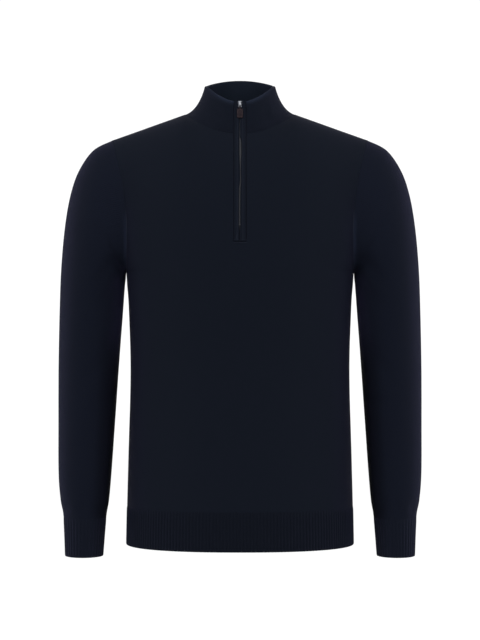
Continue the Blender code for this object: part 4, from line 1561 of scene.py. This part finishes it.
@dataclass
class Fastening:
    """The strips that edge the zip, its tape, both rows of teeth and the stop."""

    gap: float = 0.0003
    foot_gap: float = 0.001
    front_steps: int = 52
    front_span: float = 0.26
    collar_steps: int = 16
    collar_span: float = 0.056
    strip_gap: float = 0.0006
    strip_wall: float = 0.0020
    strip_columns: int = 8
    strip_span: float = 0.0085
    wide_gap: float = 0.0020
    lift: float = 1.1
    lift_gap: float = 0.001
    lift_reach: float = 0.0045
    pillow: float = 0.0003
    pillow_reach: float = 0.004
    tape_thick: float = 0.0008
    tape_columns: int = 13
    teeth_sunk: float = 0.0006
    teeth_end: float = -0.1770
    teeth_top: float = 0.0062
    teeth_samples: int = 160
    tooth: Triple = (0.0011, 0.0019, 0.0012)
    tooth_aside: float = 0.28
    pitch: float = 0.0016
    stop_length: float = 0.0022
    stop_half: float = 0.0013
    stop_corner: float = 0.0004
    stop_thick: float = 0.0012
    stop_rounding: float = 0.00025
    strip_flat: Pair = (0.010, 0.235)
    tape_flat: Pair = (0.020, 0.235)

    def runs(self, first: float, rounded: bool) -> list[float]:
        """Runs from a first one up to the collar's top, closer where the ends are rounded."""
        foot, top = (Ends.START, Ends.STOP) if rounded else (Ends.NEITHER, Ends.NEITHER)
        low = stepped(first, 1.0, self.front_steps, foot, self.front_span)
        return low + stepped(1.0, 2.0, self.collar_steps, top, self.collar_span)[1:]

    def band(
        self, runs: Sequence[float], edges: Callable[[Spot], Pair],
        across: Sequence[float], depth: float,
    ) -> Skin:
        """A skin along the zip between two edges.

        Args:
            runs: Where its rows lie.
            edges: Gives the two X values at a spot.
            across: The columns, from 0 at the first edge to 1 at the second.
            depth: How far it is sunk.

        Returns:
            The skin.
        """
        points = []
        for run in runs:
            spot = LINE.spot(run)
            low, high = edges(spot)
            points.append([tuple(spot.at(low + (high - low) * a, 0, -depth)) for a in across])
        return Skin(np.array(points), 1)

    def build(self, runner: Runner) -> None:
        """Makes every piece of the zip but the slider."""
        foot = CUT.slit_foot + self.foot_gap
        self.strips(foot)
        outer, depth = CUT.slit_half - self.gap, self.strip_wall + self.gap
        across = np.linspace(0, 1, self.tape_columns)
        tape = self.band(self.runs(foot, False), lambda _: (-outer, outer), across, depth)
        inset = np.zeros(tape.points.shape[:2])
        obj = shell("zip_tape_band", tape, self.tape_thick, inset, TAPE)
        settle(obj, TAPE, GARMENT, "zip_tape")
        self.teeth(runner)
        self.stop()

    def strips(self, foot: float) -> None:
        """The knitted strips on both sides of the teeth."""
        across = stepped(0.0, 1.0, self.strip_columns, Ends.BOTH, self.strip_span)
        for hand in Hand:
            def edges(spot: Spot, sign: int = hand.value) -> Pair:
                """The strip's edges, from the wearer's right to the left."""
                row = LINE.row(spot.origin.z)
                outer = sign * (CUT.slit_half - self.strip_gap)
                return tuple(sorted((row.aside + sign * row.half_gap, outer)))

            skin = self.band(self.runs(foot, True), edges, across, 0.0)
            inner = skin.distance(Edge.FIRST_COLUMN if hand is Hand.LEFT else Edge.LAST_COLUMN)
            near = skin.from_sides()
            narrow = [self.wide_gap - LINE.row(z).half_gap for z in skin.points[:, 0, 2]]
            narrow = np.clip(narrow, 0.0, self.lift_gap)[:, None]
            lift = self.lift * narrow * fade(inner, self.lift_reach)
            skin.raised(lift + self.pillow * (1 - fade(near, self.pillow_reach)))
            ends = np.minimum(skin.distance(Edge.FIRST_ROW), skin.distance(Edge.LAST_ROW))
            inset = edge_inset(np.minimum(near, ends), self.strip_wall / 2)
            obj = shell(f"{hand.word}_zip_strip", skin, self.strip_wall, inset, KNIT)
            settle(obj, KNIT, GARMENT, f"placket_{hand.word}")

    def teeth(self, runner: Runner) -> None:
        """Both rows of teeth, closed, each tooth between two of the other row."""
        _, width, height = self.tooth
        low, high = LINE.run_at(self.teeth_end), LINE.run_at(self.teeth_top)
        pitch_run = self.pitch / (LINE.point(high) - LINE.point(low)).length * (high - low)
        for hand in Hand:
            start = low + (pitch_run / 2 if hand is Hand.RIGHT else 0.0)
            path = []
            for run in np.linspace(start, high, self.teeth_samples):
                spot = LINE.spot(run)
                aside = LINE.row(spot.origin.z).teeth + hand.value * width * self.tooth_aside
                path.append((spot.at(aside, 0, -self.teeth_sunk - height / 2), spot.out))
            name = f"{hand.word}_zip_teeth"
            lean = pi if hand is Hand.LEFT else 0.0
            tooth = runner.shapes.tooth
            obj = runner.lay(name, [path], tooth, self.pitch, TEETH, self.tooth, lean)
            settle(obj, TEETH, GARMENT, *(["zip_teeth"] if hand is Hand.LEFT else []))

    def stop(self) -> None:
        """The metal stop clenched below the last tooth."""
        half, thick = self.stop_length / 2, self.stop_thick
        spot = LINE.spot(LINE.run_at(self.teeth_end - half))
        spot = spot._replace(origin=spot.at(LINE.row(spot.origin.z).teeth, 0, -thick))
        outline = rounded_rectangle(self.stop_half, half, -half, self.stop_corner, steps=3)
        obj = plate("zip_stop_clip", outline, thick, self.stop_rounding, spot, TEETH)
        settle(obj, TEETH, GARMENT, "zip_stop")


def rounded_rectangle(
    half_width: float, top: float, bottom: float, corner: float, steps: int
) -> list[Pair]:
    """Points of a rectangle with round corners, counter-clockwise from its upper right."""
    right, low, high = half_width - corner, bottom + corner, top - corner
    points = []
    middles = ((right, high), (-right, high), (-right, low), (right, low))
    for quarter, (x, z) in enumerate(middles):
        for k in range(steps + 1):
            turn = radians(90 * quarter + 90 * k / steps)
            points.append((x + corner * cos(turn), z + corner * sin(turn)))
    return points


def new_piece(name: str, shape: BMesh, finish: Finish) -> Object:
    """A piece from a shape in its own place, smooth but for its sharp edges."""
    weld, sharp = 0.000005, radians(50)
    bmesh.ops.remove_doubles(shape, verts=shape.verts, dist=weld)
    bmesh.ops.recalc_face_normals(shape, faces=shape.faces)
    mesh = bpy.data.meshes.new(name)
    mesh.materials.append(finish.material())
    return smoothed(mesh, shape, sharp)


def plate(
    name: str, outline: Sequence[Pair], thickness: float, rounding: float, spot: Spot,
    finish: Finish,
) -> Object:
    """A flat piece of an outline with rounded edges.

    Args:
        name: The piece's name.
        outline: Its corners to the wearer's left and up.
        thickness: Its thickness, shared by both sides of the spot.
        rounding: The rounding's width.
        spot: Where it lies.
        finish: What it is made of.

    Returns:
        The piece.
    """
    shape = bmesh.new()
    outs = (-thickness / 2, thickness / 2)
    back, face = [[shape.verts.new(spot.at(x, up, out)) for x, up in outline] for out in outs]
    shape.faces.new(back)
    shape.faces.new(face)
    for k in range(len(outline)):
        j = (k + 1) % len(outline)
        shape.faces.new((back[k], back[j], face[j], face[k]))
    rims = [e for e in shape.edges if any(len(f.verts) > 4 for f in e.link_faces)]
    round_off(shape, rims, rounding, segments=3)
    return new_piece(name, shape, finish)


def tube(
    shape: BMesh, path: Sequence[Vector], across: Vector, radius: float,
    flat: float = 1.0, closed: bool = True, around: int = 12,
) -> None:
    """Adds a tube along a path that lies square to one direction.

    Args:
        shape: Where it is added.
        path: The middle of the tube.
        across: The direction square to the path.
        radius: Half the tube's height in the path's plane.
        flat: The tube's width along that direction, as a multiple of its height.
        closed: Whether the path comes back to its start.
        around: How many sides the tube has.
    """
    count = len(path)
    rings = []
    for k, point in enumerate(path):
        before = path[(k - 1) % count if closed else max(k - 1, 0)]
        after = path[(k + 1) % count if closed else min(k + 1, count - 1)]
        side = (after - before).normalized().cross(across)
        rings.append([
            shape.verts.new(point + side * (radius * cos(t)) + across * (radius * flat * sin(t)))
            for t in (tau * n / around for n in range(around))
        ])
    for k in range(count if closed else count - 1):
        a, b = rings[k], rings[(k + 1) % count]
        for n in range(around):
            m = (n + 1) % around
            shape.faces.new((a[n], a[m], b[m], b[n]))
    if not closed:
        shape.faces.new(rings[0])
        shape.faces.new(rings[-1])


@dataclass
class Slider:
    """The slider at the top of the zip: a waisted body with a crown that holds the pull."""

    height: float = 0.0105
    half_width: float = 0.0031
    waist: float = 0.0021
    half_length: float = 0.0045
    thick: float = 0.0018
    rounding: float = 0.00035
    gap: float = 0.0003
    chamfer: float = 0.0006
    straight: float = 0.86
    waist_power: float = 1.6
    crown_reach: float = 0.0032
    crown_rise: float = 0.0026
    crown_sunk: float = 0.0006
    crown_power: float = 0.6
    crown_half: float = 0.0004
    crown_flat: float = 1.6
    rail_aside: float = 0.0023
    rail_rise: float = 0.00005
    rail_radius: float = 0.00022
    rail_heights: tuple[float, ...] = (-0.0028, -0.001, 0.001, 0.0032)

    def outline(self) -> list[Pair]:
        """The body's outline: square shoulders above, drawn in towards the lower end."""
        steps = 8
        right = [(self.half_width - self.chamfer, self.half_length)]
        for k in range(steps + 1):
            part = k / steps
            width = self.half_width + (self.waist - self.half_width) * part ** self.waist_power
            height = self.half_length * (self.straight - 2 * self.straight * part)
            right.append((width, height))
        right.append((self.waist - self.chamfer, -self.half_length))
        return right + [(-x, z) for x, z in reversed(right)]

    def build(self) -> Spot:
        """Makes the slider and returns the middle of its face."""
        spot = LINE.spot(LINE.run_at(self.height))
        face = spot._replace(origin=spot.at(0, 0, self.gap + self.thick))
        middle = face._replace(origin=face.at(0, 0, -self.thick / 2))
        outline = self.outline()[::-1]
        body = plate("slider_body", outline, self.thick, self.rounding, middle, GUNMETAL)
        settle(body, GUNMETAL, GARMENT, "zip_slider")
        self.rails(face)
        self.crown(face)
        return face

    def crown(self, face: Spot) -> None:
        """The arch that holds the pull, sunk into the body's face at both ends."""
        steps = 18
        arch = []
        for k in range(steps + 1):
            turn = pi * k / steps
            rise = -self.crown_sunk
            if 0 < k < steps:
                rise = self.crown_rise * sin(turn) ** self.crown_power
            arch.append(face.at(0, self.crown_reach * cos(turn), rise))
        shape = bmesh.new()
        tube(shape, arch, Vector((1, 0, 0)), self.crown_half, self.crown_flat, closed=False)
        settle(new_piece("slider_crown", shape, CHROME), CHROME, GARMENT)

    def rails(self, face: Spot) -> None:
        """The raised sides of the body's face."""
        shape = bmesh.new()
        for hand in Hand:
            aside = -hand.value * self.rail_aside
            rail = [face.at(aside, up, self.rail_rise) for up in self.rail_heights]
            tube(shape, rail, face.out, self.rail_radius, closed=False, around=8)
        settle(new_piece("slider_rails", shape, GUNMETAL), GUNMETAL, GARMENT)


@dataclass
class Pull:
    """The pull: a wire ring on the crown, a leather loop round it and a stitched leather tab."""

    pin_rise: float = 0.0012
    pin_drop: float = 0.0012
    wire: float = 0.0005
    ring_half: float = 0.0019
    ring_length: float = 0.0050
    ring_corner: float = 0.0010
    loop_bore: float = 0.0008
    loop_radius: float = 0.0015
    loop_width: float = 0.0024
    loop_tail: float = 0.0022
    loop_slit: float = 0.0002
    loop_steps: int = 24
    loop_rounding: float = 0.00015
    tab_gap: float = 0.0003
    tab_tip: float = 0.0169
    tab_width: float = 0.0092
    tab_corner: float = 0.0014
    tab_half_thick: float = 0.0010
    tab_rounding: float = 0.00035
    corner_steps: int = 6
    clearance: float = 0.0005
    stitch_inset: float = 0.0012
    stitch_rise: float = 0.00002
    stitch: Triple = (0.00085, 0.00036, 0.00030)
    stitch_spacing: float = 0.00155

    def hang(self, face: Spot) -> Spot:
        """The pull's axis, with up pointing away from the hanging tab's tip."""
        axis = face.at(0, -self.pin_drop, self.pin_rise)
        tip = LINE.spot(LINE.run_at(axis.z - self.ring_length - self.tab_tip))
        end = tip.at(0, 0, self.tab_half_thick + self.clearance)
        up = (axis - end).normalized()
        return Spot(axis, up, Vector((0, -up.z, up.y)))

    def build(self, face: Spot, runner: Runner) -> None:
        """Makes the pull, hanging."""
        hang = self.hang(face)
        shape = bmesh.new()
        length, steps = self.ring_length, self.corner_steps
        outline = rounded_rectangle(self.ring_half, 0.0, -length, self.ring_corner, steps)
        tube(shape, [hang.at(x, u) for x, u in outline], hang.out, self.wire)
        settle(new_piece("pull_wire_ring", shape, STEEL), STEEL, PULL, "pull_ring")
        low = hang._replace(origin=hang.at(0, -length))
        self.loop(low)
        top, tip, half = -self.loop_tail - self.tab_gap, -self.tab_tip, self.tab_width / 2
        outline = rounded_rectangle(half, top, tip, self.tab_corner, steps)
        thick = 2 * self.tab_half_thick
        obj = plate("leather_tab", outline, thick, self.tab_rounding, low, LEATHER)
        settle(obj, LEATHER, PULL, "pull_tab")
        self.stitches(low, top, runner)

    def loop(self, low: Spot) -> None:
        """The strap round the ring's lower bar, seen from the side, with its tail into the tab."""
        steps, sharp = self.loop_steps, 1.2
        start = asin(self.tab_half_thick / self.loop_radius)
        turns = [start + 2 * (pi - start) * k / steps for k in range(steps + 1)]

        def line(radius: float, tail_half: float) -> list[Pair]:
            """One face of the strap, from the tail's front round the bar to its back."""
            bend = [(radius * sin(t), -radius * cos(t)) for t in turns]
            return [(tail_half, -self.loop_tail), *bend, (-tail_half, -self.loop_tail)]

        outer = line(self.loop_radius, self.tab_half_thick)
        inner = line(self.loop_bore, self.loop_slit)
        half = self.loop_width / 2
        shape = bmesh.new()
        rings = [
            [shape.verts.new(low.at(side, u, out)) for out, u in face]
            for side, face in ((-half, outer), (half, outer), (half, inner), (-half, inner))
        ]
        for a, b in zip(rings, rings[1:] + rings[:1]):
            for k in range(len(a) - 1):
                shape.faces.new((a[k], a[k + 1], b[k + 1], b[k]))
        for k in (0, -1):
            shape.faces.new([ring[k] for ring in rings])
        rims = [e for e in shape.edges if e.is_manifold and e.calc_face_angle(0) > sharp]
        round_off(shape, rims, self.loop_rounding, segments=2)
        settle(new_piece("leather_loop", shape, LEATHER), LEATHER, PULL, "pull_loop")

    def stitches(self, low: Spot, top: float, runner: Runner) -> None:
        """A row of saddle stitches round both faces of the tab, below its top edge."""
        inset = self.stitch_inset
        half, tip = self.tab_width / 2 - inset, -self.tab_tip + inset
        line = rounded_rectangle(half, top - inset, tip, self.tab_corner / 2, steps=4)
        paths = []
        for face in (-1, 1):
            rise = face * (self.tab_half_thick + self.stitch_rise)
            paths.append([(low.at(x, u, rise), low.out * face) for x, u in line + line[:1]])
        stitch, spacing = runner.shapes.stitch, self.stitch_spacing
        obj = runner.lay("tab_stitches", paths, stitch, spacing, PULL_THREAD, self.stitch)
        settle(obj, PULL_THREAD, PULL)


# ---- the sewing

def on_hand(path: Path, hand: Hand) -> Path:
    """A left-hand path, or its mirror image on the right."""
    if hand is Hand.LEFT:
        return path
    return [(mirror(point), mirror(out)) for point, out in path]


@dataclass
class Sewing:
    """The linking stitches along every seam, and the tacking at the foot of the zip."""

    link: Triple = (0.0021, 0.00075, 0.00060)
    spacing: float = 0.0023
    lean: float = 0.35
    rise: float = 0.0001
    over: Triple = (0.0026, 0.0012, 0.0008)
    over_rise: float = 0.0005
    low_front: Pair = (-2.75, -1.70)
    arm_samples: int = 120
    shoulder_samples: int = 40
    shoulder_end: float = 0.995
    shoulder_rise: float = 0.0002
    side_samples: int = 80
    side_margin: float = 0.002
    underarm: Pair = (0.15, 0.97)
    neck_samples: int = 160
    neck_slope: float = 0.6
    zip_samples: int = 200
    zip_end: float = 1.97
    zip_foot_margin: float = 0.01
    zip_spacing: float = 0.0026
    beside: float = 0.0043
    beside_rise: float = 0.0005
    tack: Triple = (0.0022, 0.0007, 0.0006)
    tack_spacing: float = 0.0024
    tack_rise: float = 0.0004
    row_margin: float = 0.0006
    row_heights: Pair = (0.0022, -0.0020)

    def armhole(self, hand: Hand, start: float = -pi, end: float = pi) -> Path:
        """Round the armhole, or along a part of it between two angles."""
        path = []
        for angle in np.linspace(start, end, self.arm_samples):
            point = CUT.sleeve.point(angle, 0.0)
            out = CUT.sleeve.outward(angle).normalized()
            point.x -= CUT.armhole_gap / 2
            path.append((point + out * self.rise, out))
        return on_hand(path, hand)

    def shoulder(self, hand: Hand) -> Path:
        """From the neck's side to the shoulder's end."""
        path = []
        for share in np.linspace(CUT.neck_share, self.shoulder_end, self.shoulder_samples):
            point = CUT.top_point(Side.FRONT, share)
            place = Vector((point.x, 0.0, point.z + self.shoulder_rise))
            path.append((place, Vector((0, 0, 1))))
        return on_hand(path, hand)

    def side(self, hand: Hand) -> Path:
        """From the hem to the underarm."""
        path = []
        margin = self.side_margin
        for z in np.linspace(-CUT.length + margin, CUT.armpit - margin, self.side_samples):
            section = CUT.section_at(float(z))
            path.append((Vector((section.half_width, 0.0, z)), Vector((1, 0, 0))))
        return on_hand(path, hand)

    def inside_arm(self, hand: Hand) -> Path:
        """Along the inside of the sleeve, from near the armpit to near the cuff's end."""
        path = []
        start, end = self.underarm
        for place in np.linspace(start, CUT.sleeve.cuff_seam + end, self.arm_samples):
            point = CUT.sleeve.point(pi, place)
            middle = (point + CUT.sleeve.point(0.0, place)) / 2
            path.append((point, (point - middle).normalized()))
        return on_hand(path, hand)

    def neckline(self) -> Path:
        """Round the foot of the collar."""
        path = []
        start = CUT.neck_angle(Side.FRONT, CUT.slit_share)
        for angle in np.linspace(start, tau - start, self.neck_samples):
            out = Vector((sin(angle), -cos(angle), self.neck_slope)).normalized()
            point = CUT.collar.ring_point(CUT.collar.base, angle)
            path.append((point + out * self.rise, out))
        return path

    def zip_foot(self) -> list[Path]:
        """Two rows across the foot of the zip and a slanted tack above them."""
        foot, rise = LINE.spot(CUT.slit_foot), self.tack_rise
        half = CUT.slit_half - self.row_margin
        rows = [
            [(foot.at(x, up, rise), foot.out) for x in np.linspace(-half, half, num=8)]
            for up in self.row_heights
        ]
        slanted, low, step = 5, -0.1985, 0.0016
        aside, longest, shorter, climb = -0.0036, 0.0016, 0.0002, 0.0008
        for k in range(slanted):
            spot = LINE.spot(LINE.run_at(low + step * k))
            reach = longest - shorter * k
            ends = ((aside - reach, -climb), (aside + reach, climb))
            rows.append([(spot.at(x, up, rise), spot.out) for x, up in ends])
        return rows

    def beside_zip(self, hand: Hand) -> Path:
        """The topstitching down the middle of a strip."""
        path = []
        foot = CUT.slit_foot + self.zip_foot_margin
        for run in np.linspace(foot, self.zip_end, self.zip_samples):
            spot = LINE.spot(run)
            path.append((spot.at(hand.value * self.beside, 0, self.beside_rise), spot.out))
        return path

    def build(self, runner: Runner) -> None:
        """Lays the stitches: for each run its paths, spacing, thread, stitch and lean."""
        low = [self.armhole(h, *self.low_front) for h in Hand]
        low = [[(point + out * self.over_rise, out) for point, out in path] for path in low]
        linked = (self.spacing, LINK_THREAD, self.link, self.lean)
        runs = {
            "armhole_links": ([self.armhole(h) for h in Hand], *linked),
            "shoulder_links": ([self.shoulder(h) for h in Hand], *linked),
            "side_links": ([self.side(h) for h in Hand], *linked),
            "underarm_links": ([self.inside_arm(h) for h in Hand], *linked),
            "neckline_links": ([self.neckline()], *linked),
            "armhole_overstitch": (low, self.spacing, THREAD, self.over, self.lean),
            "zip_topstitching": (
                [self.beside_zip(h) for h in Hand], self.zip_spacing, THREAD, self.tack, 0.0
            ),
            "zip_foot_tacking": (self.zip_foot(), self.tack_spacing, THREAD, self.tack, 0.0),
        }
        for name, (paths, spacing, thread, stitch, lean) in runs.items():
            obj = runner.lay(name, paths, runner.shapes.stitch, spacing, thread, stitch, lean)
            settle(obj, thread, GARMENT)


# ---- the studio

class Softbox(NamedTuple):
    """A square soft light: its place, what it faces, its side in metres and its power in watts."""

    name: str
    at: Triple
    towards: Triple
    size: float
    power: float

    def hang(self) -> None:
        """Adds the light."""
        data = bpy.data.lights.new(self.name, "AREA")
        data.shape = "SQUARE"
        data.size = self.size
        data.energy = self.power
        light = placed(self.name, data)
        light.location = self.at
        way = Vector(self.towards) - Vector(self.at)
        light.rotation_euler = way.to_track_quat("-Z", "Y").to_euler()


@dataclass
class Studio:
    """A pale floor, soft light from all round and the camera in front."""

    floor_z: float = -1.45
    floor_half: float = 14.0
    floor_shade: float = 0.95
    floor_roughness: float = 0.9
    sky: float = 1.07
    boxes: tuple[Softbox, ...] = (
        Softbox("front_box", (0.0, -2.2, 1.3), (0.0, 0.0, -0.2), 2.0, 33.0),
        Softbox("top_box", (0.0, -1.0, 2.2), (0.0, 0.0, -0.2), 1.8, 30.0),
        Softbox("back_box", (0.0, 2.4, 1.2), (0.0, 0.0, -0.2), 2.0, 26.0),
        Softbox("left_box", (2.2, 0.45, 0.1), (0.0, 0.0, -0.3), 1.2, 27.0),
        Softbox("right_box", (-2.2, 0.45, 0.1), (0.0, 0.0, -0.3), 1.2, 27.0),
    )
    camera_at: Triple = (0.0, -3.0, -0.3219)
    lens: float = 107.5
    sensor: float = 36.0

    def build(self) -> None:
        """Sets up the floor, the lights and the camera."""
        scene = bpy.context.scene
        scene.view_settings.view_transform = "Standard"
        self.floor()
        world = bpy.data.worlds.new("studio_sky")
        world.use_nodes = True
        sky = world.node_tree.nodes["Background"]
        sky.inputs["Color"].default_value = (1, 1, 1, 1)
        sky.inputs["Strength"].default_value = self.sky
        scene.world = world
        for box in self.boxes:
            box.hang()
        lens = bpy.data.cameras.new("front_camera")
        lens.sensor_fit = "VERTICAL"
        lens.sensor_height = self.sensor
        lens.lens = self.lens
        camera = placed("front_camera", lens)
        camera.location = self.camera_at
        camera.rotation_euler = (pi / 2, 0, 0)
        scene.camera = camera

    def floor(self) -> None:
        """A plain pale floor below the garment."""
        half, shade = self.floor_half, self.floor_shade
        mesh = bpy.data.meshes.new("floor")
        corners = [(-half, -half), (half, -half), (half, half), (-half, half)]
        mesh.from_pydata([(x, y, self.floor_z) for x, y in corners], [], [(0, 1, 2, 3)])
        pale = bpy.data.materials.new("pale_floor")
        pale.use_nodes = True
        shader = pale.node_tree.nodes["Principled BSDF"]
        shader.inputs["Base Color"].default_value = (shade, shade, shade, 1)
        shader.inputs["Roughness"].default_value = self.floor_roughness
        shader.inputs["Specular IOR Level"].default_value = 0.0
        mesh.materials.append(pale)
        floor = placed("floor", mesh)


# ---- the whole

COLLAR_CREASES = (
    Crease(((-0.80, 0.72), (-0.60, 0.58), (-0.40, 0.45)), -0.0014, 0.007),
    Crease(((0.72, 0.68), (0.66, 0.52), (0.62, 0.38)), -0.0011, 0.006),
    Crease(((0.44, 0.42), (0.60, 0.34), (0.78, 0.30)), -0.0010, 0.007),
    Crease(((2.20, 0.60), (2.45, 0.42), (2.75, 0.34)), -0.0012, 0.009),
    Crease(((-2.10, 0.62), (-2.40, 0.46), (-2.60, 0.30)), -0.0010, 0.008),
)
SLEEVE_CREASES = (
    Crease(((-2.60, 1.2), (-2.30, 2.6), (-2.05, 4.2), (-1.90, 5.0)), -0.0030, 0.011),
    Crease(((2.65, 1.2), (2.35, 2.8), (2.00, 4.4), (1.80, 5.2)), -0.0036, 0.011),
    Crease(((2.95, 2.4), (2.60, 3.9), (2.30, 5.0)), 0.0016, 0.010),
    Crease(((-2.85, 3.6), (-2.30, 5.2), (-1.80, 5.9)), -0.0018, 0.010),
    Crease(((-2.70, 6.3), (-2.10, 6.9), (-1.60, 7.2)), -0.0016, 0.010),
    Crease(((-2.95, 7.3), (-2.40, 7.6), (-1.90, 7.6)), -0.0019, 0.009),
    Crease(((2.90, 6.5), (2.20, 7.1), (1.50, 7.2)), -0.0028, 0.010),
    Crease(((2.70, 7.5), (2.05, 7.7), (1.40, 7.6)), 0.0014, 0.009),
    Crease(((2.80, 8.1), (2.00, 8.2), (1.20, 7.9)), -0.0024, 0.009),
    Crease(((0.90, 6.6), (0.55, 7.2), (0.15, 7.4)), -0.0011, 0.010),
    Crease(((-2.40, 10.9), (-2.20, 10.3), (-2.05, 9.6)), -0.0014, 0.008),
    Crease(((-1.50, 10.9), (-1.55, 10.4), (-1.70, 9.9)), -0.0010, 0.007),
    Crease(((-0.70, 10.9), (-0.80, 10.4), (-0.85, 10.0)), -0.0008, 0.007),
    Crease(((0.30, 10.9), (0.35, 10.3), (0.30, 9.7)), -0.0013, 0.007),
    Crease(((1.20, 10.9), (1.30, 10.4), (1.45, 9.9)), -0.0014, 0.007),
    Crease(((2.10, 10.9), (2.15, 10.2), (2.30, 9.4)), -0.0018, 0.008),
)
FRONT_CREASES = (
    Crease(((0.93, 0.10), (0.84, 0.30), (0.76, 0.46)), -0.0010, 0.012),
    Crease(((-0.94, 0.12), (-0.86, 0.28), (-0.74, 0.42)), -0.0009, 0.013),
    Crease(((0.97, -0.06), (0.86, -0.20), (0.80, -0.38)), -0.0008, 0.014),
    Crease(((-0.97, -0.05), (-0.88, -0.24), (-0.80, -0.44)), -0.0009, 0.014),
)
BACK_CREASES = (
    Crease(((0.92, 0.08), (0.78, 0.30), (0.66, 0.52)), -0.0032, 0.013),
    Crease(((0.96, -0.02), (0.86, 0.20), (0.78, 0.34)), 0.0012, 0.010),
    Crease(((-0.93, 0.10), (-0.80, 0.26), (-0.70, 0.50)), -0.0028, 0.013),
    Crease(((0.62, -0.20), (0.50, -0.36), (0.30, -0.44)), -0.0024, 0.015),
    Crease(((-0.70, -0.30), (-0.50, -0.42), (-0.26, -0.46)), -0.0022, 0.014),
    Crease(((0.80, -0.45), (0.62, -0.58), (0.40, -0.62)), -0.0020, 0.013),
    Crease(((-0.86, -0.62), (-0.66, -0.70), (-0.44, -0.70)), -0.0017, 0.013),
    Crease(((-0.10, 0.88), (0.04, 0.84), (0.16, 0.88)), -0.0012, 0.012),
)


def main() -> None:
    """Builds the garment piece by piece, then the studio."""
    logging.basicConfig(level=logging.INFO, format="%(name)s %(message)s")
    runner = Runner()
    Panel(Side.FRONT, creases=FRONT_CREASES).build()
    Panel(Side.BACK, flat=(0.52, 0.66), flat_area=0.29, creases=BACK_CREASES).build()
    for side in Side:
        Hem(side=side).build()
    for hand in Hand:
        Sleeve(hand, creases=SLEEVE_CREASES).build()
        Cuff(hand=hand).build()
    Collar(creases=COLLAR_CREASES).build()
    Fastening().build(runner)
    face = Slider().build()
    Pull().build(face, runner)
    Sewing().build(runner)
    runner.shapes.remove()
    Studio().build()


if __name__ == "__main__":
    main()
